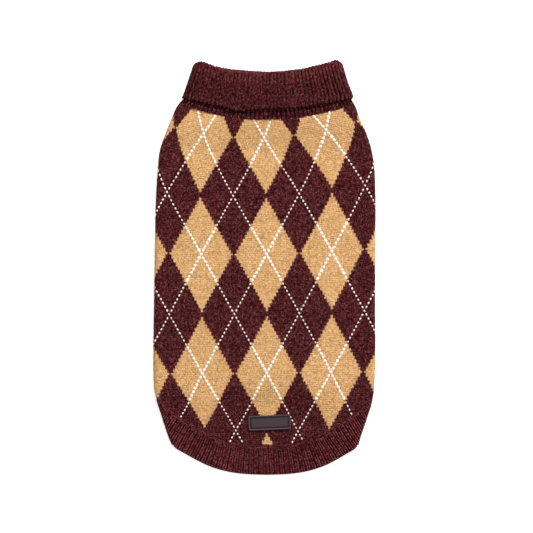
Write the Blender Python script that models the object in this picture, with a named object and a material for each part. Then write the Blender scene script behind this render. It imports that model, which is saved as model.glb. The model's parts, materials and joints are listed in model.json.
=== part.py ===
"""Knitted argyle dog sweater with a rolled rib collar, laid flat with its back up.

Metres, +Z up. +Y points to the neck, +X to the right as seen from above, and the origin is on the
surface below the middle. The garment is a flattened tube, so most points are given as a turn round
the tube and a station y along it:

    turn   0  the back's centre line        turn +-1  where the top layer starts to fold
    turn +-2  where the fold has ended      turn +-3  the belly's centre line
"""
import bisect
import math
from typing import NamedTuple

import bmesh
import bpy
from mathutils import Vector

# ---- driving dimensions ------------------------------------------------------------------------
WALL = 0.0022             # thickness of the knit and of the rib between its ridges
RIB_RISE = 0.0006         # how far a rib stands out of the wall
SEAM_GAP = 0.0003         # clearance between two pieces at a seam
LAYER_GAP = 0.0004        # clearance between the panels lying on each other

BODY_FOLD = 0.0034        # radius of the side folds, outside
BODY_PINCH = 2 * (BODY_FOLD - WALL) - LAYER_GAP    # how far the top layer sinks between the folds
PINCH_RUN = 0.014         # distance over which it sinks
FLAP_START = 0.006        # distance past the belly's hem at which the back starts to sink
FLAP_RUN = 0.024          # distance over which it sinks to the surface

NECK_FOLD = 0.0027        # radius of the stand's side folds, outside
COLLAR_CLEAR = 0.0006     # space between the stand and the turned-down part
TURN_DOWN_FOLD = NECK_FOLD + COLLAR_CLEAR + WALL   # radius of the turned-down part's side folds
NECK_LIFT = TURN_DOWN_FOLD - NECK_FOLD             # the stand's height above the surface
NECK_RISE = (0.108, 0.140)                         # stations between which the panels rise to it

SIDE_SEAM = 2.18          # turn of the side seams, on the underside
HEM_WIDTH = 0.0283        # the hem rib from its seam to its free edge
HEM_PITCH = 0.00235       # one rib of the hem
HEM_RIBS = 57             # ribs from the hem's centre to each side fold
COLLAR_RIBS = 41          # ribs across the collar's flat top layer
COLLAR_FOLD_COLUMNS = 12  # its columns over each side fold
COLLAR_CORNER = 0.1625    # station of the turned-down part's corners
COLLAR_CROTCH = 0.0004    # how far the inside of its upper fold lies below a wall's thickness
COLLAR_TURNS = (180, 130, 85, 40, 0)      # where its columns cross the upper fold, in degrees
STRIP_SHARE = 0.75        # how far up the strip of stand shows, from the seam to the free edge above

LEG_CENTRE = (0.042, 0.090)      # leg holes, from the belly's centre line and from the origin
LEG_HOLE = (0.026, 0.030)        # half sizes of the hole in the panel
LEG_BAND = 0.0095                # width of the rib round it
LEG_SIDES = 40
UNDER_STEPS = (16, 14)    # stretches of the hem's and the belly rib's unraised halves

LABEL_SIZE = (0.0406, 0.0141)
LABEL_CENTRE = (0.0049, -0.1494)
LABEL_TILT = math.radians(2.5)
LABEL_THICK = 0.0014
LABEL_RIM = (0.0011, 0.0004)     # the raised rim's width and height
LABEL_CORNER = 0.0016

# The folded outline: station, centre and half width of the stand and the body.
SIDES = (
    # y, centre, half
    (-0.1997, 0.0020, 0.0800),
    (-0.1757, 0.0012, 0.0884),
    (-0.1642, 0.0001, 0.0924),
    (-0.1526, 0.0001, 0.0964),
    (-0.1411, 0.0002, 0.1001),
    (-0.1296, 0.0001, 0.1038),
    (-0.1181, -0.0003, 0.1058),
    (-0.0989, -0.0003, 0.1067),
    (-0.0797, -0.0001, 0.1069),
    (-0.0317, 0.0001, 0.1063),
    (0.0163, 0.0006, 0.1062),
    (0.0643, 0.0012, 0.1057),
    (0.0931, 0.0016, 0.1043),
    (0.1123, 0.0013, 0.1019),
    (0.1315, 0.0014, 0.0955),
    (0.1411, 0.0012, 0.0911),
    (0.1526, 0.0015, 0.0867),
    (0.1584, 0.0021, 0.0832),
    (0.1616, 0.0028, 0.0805),
    (0.1642, 0.0034, 0.0794),
    (0.1757, 0.0032, 0.0752),
    (0.1872, 0.0034, 0.0714),
    (0.1930, 0.0034, 0.0698),
    (0.1987, 0.0037, 0.0678),
)

# The hem seam, with the tube unrolled: run round the cloth from the back's centre line, station.
HEM_SEAM = (
    # run, y
    (0.0000, -0.1712),
    (0.0190, -0.1704),
    (0.0336, -0.1682),
    (0.0480, -0.1632),
    (0.0677, -0.1520),
    (0.0826, -0.1427),
    (0.0960, -0.1334),
    (0.1037, -0.1258),
    (0.1128, -0.1164),
    (0.1315, -0.1011),
    (0.1536, -0.0883),
    (0.1747, -0.0810),
    (0.1958, -0.0776),
    (0.2175, -0.0768),
)

# The neck seam, in the same way.
NECK_SEAM = (
    # run, y
    (0.0000, 0.1411),
    (0.0240, 0.1420),
    (0.0480, 0.1461),
    (0.0730, 0.1522),
    (0.0790, 0.1561),
    (0.0820, 0.1573),
    (0.0900, 0.1577),
    (0.1000, 0.1562),
    (0.1150, 0.1520),
    (0.1350, 0.1486),
    (0.1800, 0.1478),
)

# The collar's upper fold and the free edge of its turned-down part.
COLLAR_TOP = (
    # turn, y
    (-3.00, 0.1890),
    (-2.50, 0.1915),
    (-2.00, 0.1968),
    (-1.50, 0.1955),
    (-1.00, 0.1975),
    (-0.83, 0.1945),
    (-0.66, 0.1903),
    (-0.49, 0.1880),
    (-0.25, 0.1866),
    (0.00, 0.1872),
    (0.20, 0.1882),
    (0.45, 0.1902),
    (0.71, 0.1939),
    (0.89, 0.1968),
    (1.00, 0.1987),
    (1.50, 0.1965),
    (2.00, 0.1972),
    (2.50, 0.1915),
    (3.00, 0.1890),
)
COLLAR_EDGE = (
    # turn, y
    (-3.00, 0.1545),
    (-2.00, 0.1632),
    (-1.50, 0.1635),
    (-0.96, 0.1616),
    (-0.74, 0.1569),
    (-0.54, 0.1541),
    (-0.36, 0.1503),
    (-0.18, 0.1508),
    (0.02, 0.1522),
    (0.20, 0.1517),
    (0.37, 0.1532),
    (0.66, 0.1569),
    (0.96, 0.1610),
    (1.50, 0.1635),
    (2.00, 0.1632),
    (3.00, 0.1545),
)

# Columns of the panels' meshes, as turns, and their rows, as shares from the hem to the neck.
FOLD_COLUMNS = tuple(1 + i / 6 for i in range(7))
BACK_COLUMNS = (0, 0.12, 0.24, 0.36, 0.48, 0.60, 0.72, 0.82, 0.89, 0.95, *FOLD_COLUMNS,
                2.09, SIDE_SEAM)
BELLY_COLUMNS = (SIDE_SEAM, 2.3, 2.42, 2.54, 2.66, 2.83, 3)
PANEL_ROWS = (0, 0.05, 0.10, 0.14, 0.18, 0.22, 0.27, 0.36, 0.48, 0.60, 0.70, 0.78, 0.84, 0.88,
              0.92, 0.96, 1)
FOLD_TURNS = (1, 1.33, 1.67, 2)          # where the hem rib's rows cross the fold
RIB_RISE_ENDS = 1.5                      # turn past which nothing is raised: it lies on the surface
SEAM_STEP = 0.0005                       # step along the seams in working out their courses

MAROON = (0.085, 0.022, 0.024, 1)
TAN = (0.70, 0.42, 0.20, 1)
CHARCOAL = (0.045, 0.032, 0.034, 1)


# ---- small tools -------------------------------------------------------------------------------
def mix(a, b, share):
    return a + (b - a) * share


def ease(value):
    """0 to 1 with soft ends."""
    value = min(max(value, 0.0), 1.0)
    return value * value * (3 - 2 * value)


def smooth_table(rows):
    """A smooth curve through a table: its first column gives the others."""
    keys = [row[0] for row in rows]

    def slope(i, column):
        low, high = max(i - 1, 0), min(i + 1, len(rows) - 1)
        return (rows[high][column] - rows[low][column]) / (keys[high] - keys[low])

    def value(key):
        key = min(max(key, keys[0]), keys[-1])
        i = min(max(bisect.bisect_right(keys, key) - 1, 0), len(rows) - 2)
        span = keys[i + 1] - keys[i]
        t = (key - keys[i]) / span
        found = []
        for column in range(1, len(rows[0])):
            start, end = rows[i][column], rows[i + 1][column]
            found.append((2 * t**3 - 3 * t**2 + 1) * start + (t**3 - 2 * t**2 + t) * span * slope(i, column)
                         + (3 * t**2 - 2 * t**3) * end + (t**3 - t**2) * span * slope(i + 1, column))
        return found[0] if len(found) == 1 else found

    return value


def straight_table(rows):
    """The straight lines through a table's two columns."""
    keys = [row[0] for row in rows]

    def value(key):
        i = min(max(bisect.bisect_right(keys, key) - 1, 0), len(rows) - 2)
        return mix(rows[i][1], rows[i + 1][1], (key - keys[i]) / (keys[i + 1] - keys[i]))

    return value


def mirrored(columns):
    """Turns on the right with their mirror images on the left, in order round the back."""
    return [-turn for turn in reversed(columns) if turn] + list(columns)


# ---- the flattened tube ------------------------------------------------------------------------
class Ring(NamedTuple):
    """The tube's outer skin at one station: a flattened loop."""
    centre: float
    flat: float       # half length of the flat layers
    radius: float     # radius of the side folds
    lift: float       # the underside's height
    pinch: float      # how far the top layer sinks


sides_at = smooth_table(SIDES)
collar_top_at = smooth_table(COLLAR_TOP)
collar_edge_at = smooth_table(COLLAR_EDGE)


def ring_at(y):
    centre, half = sides_at(y)
    raised = ease((y - NECK_RISE[0]) / (NECK_RISE[1] - NECK_RISE[0]))
    radius = mix(BODY_FOLD, NECK_FOLD, raised)
    return Ring(centre, half - radius, radius, NECK_LIFT * raised, BODY_PINCH * (1 - raised))


def loop_point(flat, radius, turn):
    """Across and up from the middle of a flattened loop."""
    side, turn = math.copysign(1, turn), abs(turn)
    if turn <= 1:
        return side * turn * flat, radius
    if turn <= 2:
        angle = (turn - 1) * math.pi
        return side * (flat + radius * math.sin(angle)), radius * math.cos(angle)
    return side * (3 - turn) * flat, -radius


def turn_of(run, y):
    """The turn that lies a run of cloth away from the back's centre line."""
    ring = ring_at(y)
    bend = math.pi * ring.radius
    if run <= ring.flat:
        return run / ring.flat
    if run <= ring.flat + bend:
        return 1 + (run - ring.flat) / bend
    return min(2 + (run - ring.flat - bend) / ring.flat, 3)


hem_seam_at = smooth_table(HEM_SEAM)
neck_seam_at = smooth_table(NECK_SEAM)


def seam_stations(seam_at, columns):
    """The seam as straight lines between the panels' columns: turn, station."""
    run, course = 0.0, []
    while not course or course[-1][0] < 3:
        course.append((turn_of(run, seam_at(run)), seam_at(run)))
        run += SEAM_STEP
    fine = straight_table(course)
    return straight_table([(turn, fine(turn)) for turn in columns])


ALL_COLUMNS = BACK_COLUMNS + BELLY_COLUMNS[1:]
hem_station = seam_stations(hem_seam_at, ALL_COLUMNS)
neck_station = seam_stations(neck_seam_at, ALL_COLUMNS)


class HemLine(NamedTuple):
    """Where one line of the hem rib starts on the seam, and its direction, on the unrolled tube."""
    run: float
    y: float
    across: float
    along: float
    distance: float   # along the middle of the band from the back's centre line

    def at(self, share):
        """Run and station on the line, from the seam at 0 to the free edge at 1."""
        return (self.run + self.across * HEM_WIDTH * share, self.y + self.along * HEM_WIDTH * share)

    def turn(self, share):
        return turn_of(*self.at(share))


def hem_lines():
    lines, distance, before = [], 0.0, None
    for i in range(int(HEM_SEAM[-1][0] / SEAM_STEP) + 1):
        run = i * SEAM_STEP
        rise = (hem_seam_at(run + SEAM_STEP) - hem_seam_at(run - SEAM_STEP)) / (2 * SEAM_STEP)
        length = math.hypot(1, rise)
        line = HemLine(run, hem_seam_at(run), rise / length, -1 / length, 0)
        middle = line.at(0.5)
        if before:
            distance += math.dist(middle, before)
        lines.append(line._replace(distance=distance))
        before = middle
    return lines


HEM_LINES = hem_lines()
HEM_DISTANCES = [line.distance for line in HEM_LINES]


def hem_line_at(distance):
    i = min(max(bisect.bisect_right(HEM_DISTANCES, distance) - 1, 0), len(HEM_LINES) - 2)
    low, high = HEM_LINES[i], HEM_LINES[i + 1]
    share = (distance - low.distance) / (high.distance - low.distance)
    return HemLine(*(mix(a, b, share) for a, b in zip(low, high)))


def belly_opening():
    """The belly hem's free edge, seen from above, from the side fold to the centre line."""
    edge = []
    for line in HEM_LINES:
        turn = line.turn(1)
        if turn >= RIB_RISE_ENDS:
            y = line.at(1)[1]
            ring = ring_at(y)
            edge.append((loop_point(ring.flat, ring.radius, turn)[0], y))
    return edge


BELLY_EDGE = belly_opening()[::8]


def past_belly(x, y):
    """How far a point of the back lies past the belly's free edge, or 0 above the belly."""
    x = abs(x)
    if y > BELLY_EDGE[0][1]:
        reach = [edge_x for edge_x, edge_y in BELLY_EDGE if edge_y <= y]
        if y > BELLY_EDGE[-1][1] or x > reach[-1]:
            return 0.0
    nearest = math.inf
    for (x0, y0), (x1, y1) in zip(BELLY_EDGE, BELLY_EDGE[1:]):
        dx, dy = x1 - x0, y1 - y0
        share = min(max(((x - x0) * dx + (y - y0) * dy) / (dx * dx + dy * dy), 0), 1)
        nearest = min(nearest, math.hypot(x - x0 - share * dx, y - y0 - share * dy))
    return nearest


def cloth(turn, y, depth=0.0):
    """A point of the body's wall, at a depth below its outer skin."""
    ring = ring_at(y)
    x, z = loop_point(ring.flat, ring.radius - depth, turn)
    z += ring.lift + ring.radius
    if abs(turn) < 2:
        z -= ring.pinch * ease((ring.flat - abs(x)) / PINCH_RUN)
    if abs(turn) <= 1.5:
        z = mix(z, WALL - depth, ease((past_belly(x, y) - FLAP_START) / FLAP_RUN))
    return Vector((ring.centre + x, y, z))


def seam_point(station, turn, depth):
    """A point of the panels' edge, which runs straight from column to column."""
    side, turn = math.copysign(1, turn), min(abs(turn), 3)
    i = min(bisect.bisect_right(ALL_COLUMNS, turn) - 1, len(ALL_COLUMNS) - 2)
    low, high = ALL_COLUMNS[i], ALL_COLUMNS[i + 1]
    ends = [cloth(side * column, station(column), depth) for column in (low, high)]
    return ends[0].lerp(ends[1], (turn - low) / (high - low))


def beside_seam(station, turn, depth, side):
    """A point of a rib's edge, a seam's clearance from the panels: side 1 above it, -1 below it."""
    before, here, after = (seam_point(station, turn + step, depth) for step in (-0.03, 0, 0.03))
    through = seam_point(station, turn, 0) - seam_point(station, turn, WALL)
    return here + through.cross(after - before).normalized() * SEAM_GAP * side


def rib_rise(index, turn):
    """Every other column of a rib stands out, except on the underside."""
    return RIB_RISE if index % 2 and abs(turn) < RIB_RISE_ENDS else 0.0


# ---- meshes ------------------------------------------------------------------------------------
def make_material(name, colour, roughness):
    material = bpy.data.materials.new(name)
    material.use_nodes = True
    shader = material.node_tree.nodes["Principled BSDF"]
    shader.inputs["Base Color"].default_value = colour
    shader.inputs["Roughness"].default_value = roughness
    return material


def add_object(name, mesh, material, collection):
    piece = bpy.data.objects.new(name, mesh)
    piece.data.materials.append(material)
    collection.objects.link(piece)
    return piece


def wall(name, outer, inner, material, collection, closed=False):
    """A closed cloth wall between two skins, each a list of rows of points."""
    mesh = bpy.data.meshes.new(name)
    bm = bmesh.new()
    skins = [[[bm.verts.new(point) for point in row] for row in skin] for skin in (outer, inner)]
    rows, columns = len(outer), len(outer[0])
    spans = [(i, (i + 1) % columns) for i in range(columns if closed else columns - 1)]
    for skin in skins:
        for low, high in zip(skin, skin[1:]):
            for a, b in spans:
                bm.faces.new((low[a], low[b], high[b], high[a]))
    for row in (0, rows - 1):
        for a, b in spans:
            bm.faces.new((skins[0][row][a], skins[0][row][b], skins[1][row][b], skins[1][row][a]))
    if not closed:
        for column in (0, columns - 1):
            for row in range(rows - 1):
                bm.faces.new((skins[0][row][column], skins[0][row + 1][column],
                              skins[1][row + 1][column], skins[1][row][column]))
    bmesh.ops.recalc_face_normals(bm, faces=bm.faces)
    bm.to_mesh(mesh)
    bm.free()
    mesh.shade_smooth()
    mesh.set_sharp_from_angle(angle=math.radians(50))
    return add_object(name, mesh, material, collection)


def panel(name, turns, material, collection):
    """A knitted panel between the hem seam and the neck seam."""
    skins = []
    for depth in (0, WALL):
        rows = []
        for share in PANEL_ROWS:
            rows.append([])
            for turn in turns:
                low = hem_station(min(abs(turn), 3))
                high = neck_station(min(abs(turn), 3))
                rows[-1].append(cloth(turn, mix(low, high, share), depth))
        skins.append(rows)
    return wall(name, *skins, material, collection)


BODY_FLAT = ring_at(0).flat


def back_panel(material, collection):
    gap = SEAM_GAP / 2 / BODY_FLAT
    return panel("back_panel", mirrored(BACK_COLUMNS[:-1] + (SIDE_SEAM - gap,)), material, collection)


def belly_panel(material, collection, cutters):
    gap = SEAM_GAP / 2 / BODY_FLAT
    right = [SIDE_SEAM + gap] + list(BELLY_COLUMNS[1:])
    turns = right + [-turn for turn in reversed(right[:-1])]
    piece = panel("belly_panel", turns, material, collection)
    for side, name in ((-1, "leg_hole_left"), (1, "leg_hole_right")):
        centre = Vector((ring_at(LEG_CENTRE[1]).centre + side * LEG_CENTRE[0], LEG_CENTRE[1], 0))
        bpy.ops.mesh.primitive_cylinder_add(vertices=LEG_SIDES, radius=1, depth=6 * WALL,
                                            location=centre)
        cutter = bpy.context.object
        cutter.name = name
        cutter.scale = (*LEG_HOLE, 1)
        bpy.ops.object.transform_apply(location=False, rotation=False, scale=True)
        cutter.hide_render = True
        cutter.display_type = "WIRE"
        for home in cutter.users_collection:
            home.objects.unlink(cutter)
        cutters.objects.link(cutter)
        cut = piece.modifiers.new(name, "BOOLEAN")
        cut.object = cutter
        cut.operation = "DIFFERENCE"
    return piece


def underside_point(x, y, depth):
    """A point of the belly's layer, given from its centre line."""
    ring = ring_at(y)
    return Vector((ring.centre + x, y, ring.lift + depth))


def leg_rib(name, side, material, collection):
    skins = []
    for depth in (0, WALL):
        rows = []
        for inset in (SEAM_GAP, LEG_BAND / 2, LEG_BAND):
            rows.append([])
            for i in range(LEG_SIDES):
                angle = math.tau * i / LEG_SIDES
                x = side * LEG_CENTRE[0] + (LEG_HOLE[0] - inset) * math.cos(angle)
                y = LEG_CENTRE[1] + (LEG_HOLE[1] - inset) * math.sin(angle)
                rows[-1].append(underside_point(x, y, depth))
        skins.append(rows)
    return wall(name, *skins, material, collection, closed=True)


def crossing(line, turn):
    """The share of a hem line at which it crosses a turn."""
    low, high = 0.0, 1.0
    for _ in range(30):
        middle = (low + high) / 2
        if line.turn(middle) < turn:
            low = middle
        else:
            high = middle
    return low


def band_rows(line):
    """Shares of a hem line where its rows lie: evenly, but on the fold where it crosses it."""
    least = 0.06
    shares = [0.0]
    for i, turn in enumerate(FOLD_TURNS, start=1):
        share = crossing(line, turn)
        room = 1 - (len(FOLD_TURNS) + 1 - i) * least
        shares.append(min(max(share, shares[-1] + least), room))
    return shares + [1.0]


def band(name, columns, material, collection):
    """A stretch of the hem rib; columns are side, distance along the band and index for the ribs."""
    outer, inner = [], []
    for side, distance, index in columns:
        line = hem_line_at(distance)
        shares = band_rows(line)
        first = side * line.turn(0)
        for skin, base in ((outer, 0.0), (inner, WALL)):
            depth = base - rib_rise(index, first) if skin is outer else base
            skin.append([beside_seam(hem_station, first, depth, -1)])
            for share in shares[1:]:
                run, y = line.at(share)
                turn = turn_of(run, y)
                raised = rib_rise(index, turn) if skin is outer else 0
                skin[-1].append(cloth(side * turn, y, base - raised))
    outer, inner = ([list(row) for row in zip(*skin)] for skin in (outer, inner))
    return wall(name, outer, inner, material, collection)


def side_seam_distance():
    for line in HEM_LINES:
        if line.turn(0) >= SIDE_SEAM:
            return line.distance
    raise ValueError("the hem never reaches the side seam")


def hem_rib(material, collection):
    right = [(i * HEM_PITCH / 2, i) for i in range(2 * HEM_RIBS + 1)]
    start, end, steps = right[-1][0], side_seam_distance() - SEAM_GAP / 2, UNDER_STEPS[0]
    right += [(mix(start, end, i / steps), 0) for i in range(1, steps + 1)]
    columns = [(-1, *column) for column in reversed(right[1:])] + [(1, *column) for column in right]
    return band("hem_rib", columns, material, collection)


def belly_rib(material, collection):
    start, end, steps = side_seam_distance() + SEAM_GAP, HEM_DISTANCES[-1], UNDER_STEPS[1]
    right = [mix(start, end, i / steps) for i in range(steps)]
    columns = [(1, distance, 0) for distance in right]
    columns += [(-1, distance, 0) for distance in reversed(right)]
    return band("belly_rib", columns, material, collection)


def collar_columns():
    """Turns round the collar: two for each rib on top, the panels' own where it lies on the surface."""
    top = [(-1 + i / COLLAR_RIBS, i) for i in range(2 * COLLAR_RIBS + 1)]
    right = [(1 + i / COLLAR_FOLD_COLUMNS, i) for i in range(1, COLLAR_FOLD_COLUMNS)]
    right += [(turn, 0) for turn in ALL_COLUMNS if 2 <= turn < 3]
    left = [(-turn, index) for turn, index in reversed(right)]
    return top + right + [(3.0, 0)] + left


def collar(material, collection):
    """The rib tube: its stand, the fold at the top and the part turned down outwards."""
    middle = TURN_DOWN_FOLD
    bore = NECK_FOLD - WALL
    outside, inside = TURN_DOWN_FOLD, TURN_DOWN_FOLD - WALL
    bend = (outside - bore) / 2
    crotch = WALL + COLLAR_CROTCH
    outer, inner = [], []
    for turn, index in collar_columns():
        seam = neck_station(abs(turn))
        top, edge = collar_top_at(turn), collar_edge_at(turn)
        raised = rib_rise(index, turn)
        hinge = top - bend - raised

        def point(radius, y, held=-1.0):
            centre, half = sides_at(max(y, held))
            x, z = loop_point(half - NECK_FOLD, radius, turn)
            return Vector((centre + x, y, middle + z))

        def over(angle, rise):
            angle = math.radians(angle)
            return point(bore + bend + (bend + rise) * math.cos(angle),
                         hinge + (bend + rise) * math.sin(angle))

        outer.append([
            beside_seam(neck_station, turn, WALL, 1),
            point(bore, mix(seam, hinge, 0.5)),
            over(COLLAR_TURNS[0], 0),
            over(COLLAR_TURNS[1], raised / 2),
            *(over(angle, raised) for angle in COLLAR_TURNS[2:]),
            point(outside + raised, mix(hinge, edge, 0.5), COLLAR_CORNER),
            point(outside + raised, edge, COLLAR_CORNER),
        ])
        inner.append([
            beside_seam(neck_station, turn, -raised / 2, 1),
            point(NECK_FOLD + raised / 2, mix(seam, edge, STRIP_SHARE)),
            point(NECK_FOLD, edge + 0.0020),
            point(NECK_FOLD, top - crotch - 0.0006),
            point((NECK_FOLD + inside) / 2, top - crotch),
            point(inside, top - crotch - 0.0006),
            point(inside, mix(hinge, edge, 0.3), COLLAR_CORNER),
            point(inside, mix(hinge, edge, 0.7), COLLAR_CORNER),
            point(inside, edge, COLLAR_CORNER),
        ])
    outer, inner = ([list(row) for row in zip(*skin)] for skin in (outer, inner))
    return wall("collar", outer, inner, material, collection, closed=True)


def rounded_outline(inset, height):
    """One ring of the label's moulding, on the panel below it."""
    half_x, half_y = LABEL_SIZE[0] / 2 - inset, LABEL_SIZE[1] / 2 - inset
    corner = max(LABEL_CORNER - inset, 0.0004)
    points = []
    for quarter, (sign_x, sign_y) in enumerate(((1, 1), (-1, 1), (-1, -1), (1, -1))):
        for step in range(5):
            angle = (quarter + step / 4) * math.pi / 2
            x = sign_x * (half_x - corner) + corner * math.cos(angle)
            y = sign_y * (half_y - corner) + corner * math.sin(angle)
            points.append(label_point(x, y, height))
    return points


def label_point(x, y, height):
    across = LABEL_CENTRE[0] + x * math.cos(LABEL_TILT) - y * math.sin(LABEL_TILT)
    along = LABEL_CENTRE[1] + x * math.sin(LABEL_TILT) + y * math.cos(LABEL_TILT)
    ring = ring_at(along)
    below = cloth((across - ring.centre) / ring.flat, along)
    return Vector((across, along, below.z + SEAM_GAP + height))


def label_patch(material, collection):
    rim_width, rim_height = LABEL_RIM
    steps = ((0.0002, 0), (0, 0.0003), (0, LABEL_THICK + rim_height - 0.0002),
             (0.0002, LABEL_THICK + rim_height), (rim_width, LABEL_THICK + rim_height),
             (rim_width + 0.0002, LABEL_THICK))
    mesh = bpy.data.meshes.new("label_patch")
    bm = bmesh.new()
    rings = [[bm.verts.new(point) for point in rounded_outline(*step)] for step in steps]
    for low, high in zip(rings, rings[1:]):
        for i, vertex in enumerate(low):
            j = (i + 1) % len(low)
            bm.faces.new((vertex, low[j], high[j], high[i]))
    bm.faces.new(rings[0])
    bm.faces.new(rings[-1])
    bmesh.ops.recalc_face_normals(bm, faces=bm.faces)
    bm.to_mesh(mesh)
    bm.free()
    return add_object("label_patch", mesh, material, collection)


def main():
    for leftover in list(bpy.data.objects):
        bpy.data.objects.remove(leftover)
    sweater = bpy.data.collections.new("dog_sweater")
    cutters = bpy.data.collections.new("cutters")
    for collection in (sweater, cutters):
        bpy.context.scene.collection.children.link(collection)

    rib_wool = make_material("maroon_rib_wool", MAROON, 0.95)
    plain_wool = make_material("maroon_wool", MAROON, 0.95)
    argyle_wool = make_material("argyle_wool", TAN, 0.95)
    rubber = make_material("label_rubber", CHARCOAL, 0.6)

    back_panel(argyle_wool, sweater)
    belly_panel(plain_wool, sweater, cutters)
    collar(rib_wool, sweater)
    hem_rib(rib_wool, sweater)
    belly_rib(rib_wool, sweater)
    leg_rib("leg_rib_left", -1, rib_wool, sweater)
    leg_rib("leg_rib_right", 1, rib_wool, sweater)
    label_patch(rubber, sweater)


main()
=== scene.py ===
"""The looks of a knitted argyle dog sweater, laid flat with its back up.

Metres, +Z up, +Y to the neck, the same frame as the solids. The garment is a flattened tube, given as
a turn round it and a station y along it: turn 0 is the back's centre line, +-1 to +-2 are the side
folds and +-3 the belly's centre line. Stitches are counted in wales across and courses up.
"""
import json
import math
from typing import NamedTuple

import bpy
import numpy as np
from bpy.props import FloatProperty, FloatVectorProperty, PointerProperty
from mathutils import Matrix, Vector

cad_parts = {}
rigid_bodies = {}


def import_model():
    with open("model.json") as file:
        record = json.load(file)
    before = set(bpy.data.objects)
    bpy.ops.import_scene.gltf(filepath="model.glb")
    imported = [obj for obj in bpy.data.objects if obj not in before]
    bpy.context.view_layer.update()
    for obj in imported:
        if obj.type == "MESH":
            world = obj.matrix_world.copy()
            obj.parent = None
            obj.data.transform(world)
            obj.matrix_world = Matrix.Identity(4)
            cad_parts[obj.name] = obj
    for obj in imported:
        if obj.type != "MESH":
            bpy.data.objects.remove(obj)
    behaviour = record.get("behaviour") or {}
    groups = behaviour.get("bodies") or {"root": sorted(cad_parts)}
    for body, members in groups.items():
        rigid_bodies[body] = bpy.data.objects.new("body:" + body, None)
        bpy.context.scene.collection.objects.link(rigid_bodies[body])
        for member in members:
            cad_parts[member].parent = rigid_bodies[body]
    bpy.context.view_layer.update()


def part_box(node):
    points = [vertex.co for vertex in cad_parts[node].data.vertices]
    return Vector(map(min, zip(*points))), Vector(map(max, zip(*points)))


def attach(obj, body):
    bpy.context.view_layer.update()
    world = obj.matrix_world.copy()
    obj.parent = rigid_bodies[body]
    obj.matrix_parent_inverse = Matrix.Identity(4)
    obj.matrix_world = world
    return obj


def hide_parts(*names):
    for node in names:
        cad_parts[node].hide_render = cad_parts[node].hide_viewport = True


bl_info = {
    "name": "Argyle Dog Sweater",
    "version": (1, 0, 0),
    "blender": (4, 5, 0),
    "location": "View3D > Sidebar > Sweater",
    "description": "Knits the visible cloth of a flat-lying argyle dog sweater over its frame",
    "category": "Object",
}

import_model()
LABEL_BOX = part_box("label_patch")

# ---- the cloth's sizes, as in the solids --------------------------------------------------------
WALL = 0.0022
RIB_RISE = 0.0006
LAYER_GAP = 0.0004
BODY_FOLD = 0.0034
BODY_PINCH = 2 * (BODY_FOLD - WALL) - LAYER_GAP
PINCH_RUN = 0.014
FLAP_START = 0.006
FLAP_RUN = 0.024
NECK_FOLD = 0.0027
COLLAR_CLEAR = 0.0006
TURN_DOWN_FOLD = NECK_FOLD + COLLAR_CLEAR + WALL
NECK_LIFT = TURN_DOWN_FOLD - NECK_FOLD
NECK_RISE = (0.108, 0.140)
SIDE_SEAM = 2.18
HEM_WIDTH = 0.0283
HEM_PITCH = 0.00235
COLLAR_RIBS = 41
COLLAR_FOLD_RIBS = 6
COLLAR_CORNER = 0.1625
LEG_CENTRE = (0.042, 0.090)
LEG_HOLE = (0.026, 0.030)
LEG_BAND = 0.0095
LABEL_SIZE = (0.0406, 0.0141)
LABEL_CENTRE = (0.0049, -0.1494)
LABEL_TILT = math.radians(2.5)
LABEL_THICK = 0.0014
LABEL_CORNER = 0.0016
SEAM_STEP = 0.0005

SIDES = (
    # y, centre, half width of the folded outline
    (-0.1997, 0.0020, 0.0800),
    (-0.1757, 0.0012, 0.0884),
    (-0.1642, 0.0001, 0.0924),
    (-0.1526, 0.0001, 0.0964),
    (-0.1411, 0.0002, 0.1001),
    (-0.1296, 0.0001, 0.1038),
    (-0.1181, -0.0003, 0.1058),
    (-0.0989, -0.0003, 0.1067),
    (-0.0797, -0.0001, 0.1069),
    (-0.0317, 0.0001, 0.1063),
    (0.0163, 0.0006, 0.1062),
    (0.0643, 0.0012, 0.1057),
    (0.0931, 0.0016, 0.1043),
    (0.1123, 0.0013, 0.1019),
    (0.1315, 0.0014, 0.0955),
    (0.1411, 0.0012, 0.0911),
    (0.1526, 0.0015, 0.0867),
    (0.1584, 0.0021, 0.0832),
    (0.1616, 0.0028, 0.0805),
    (0.1642, 0.0034, 0.0794),
    (0.1757, 0.0032, 0.0752),
    (0.1872, 0.0034, 0.0714),
    (0.1930, 0.0034, 0.0698),
    (0.1987, 0.0037, 0.0678),
)
HEM_SEAM = (
    # run round the cloth, y
    (0.0000, -0.1712),
    (0.0190, -0.1704),
    (0.0336, -0.1682),
    (0.0480, -0.1632),
    (0.0677, -0.1520),
    (0.0826, -0.1427),
    (0.0960, -0.1334),
    (0.1037, -0.1258),
    (0.1128, -0.1164),
    (0.1315, -0.1011),
    (0.1536, -0.0883),
    (0.1747, -0.0810),
    (0.1958, -0.0776),
    (0.2175, -0.0768),
)
NECK_SEAM = (
    # run round the cloth, y
    (0.0000, 0.1411),
    (0.0240, 0.1420),
    (0.0480, 0.1461),
    (0.0730, 0.1522),
    (0.0790, 0.1561),
    (0.0820, 0.1573),
    (0.0900, 0.1577),
    (0.1000, 0.1562),
    (0.1150, 0.1520),
    (0.1350, 0.1486),
    (0.1800, 0.1478),
)
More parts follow.
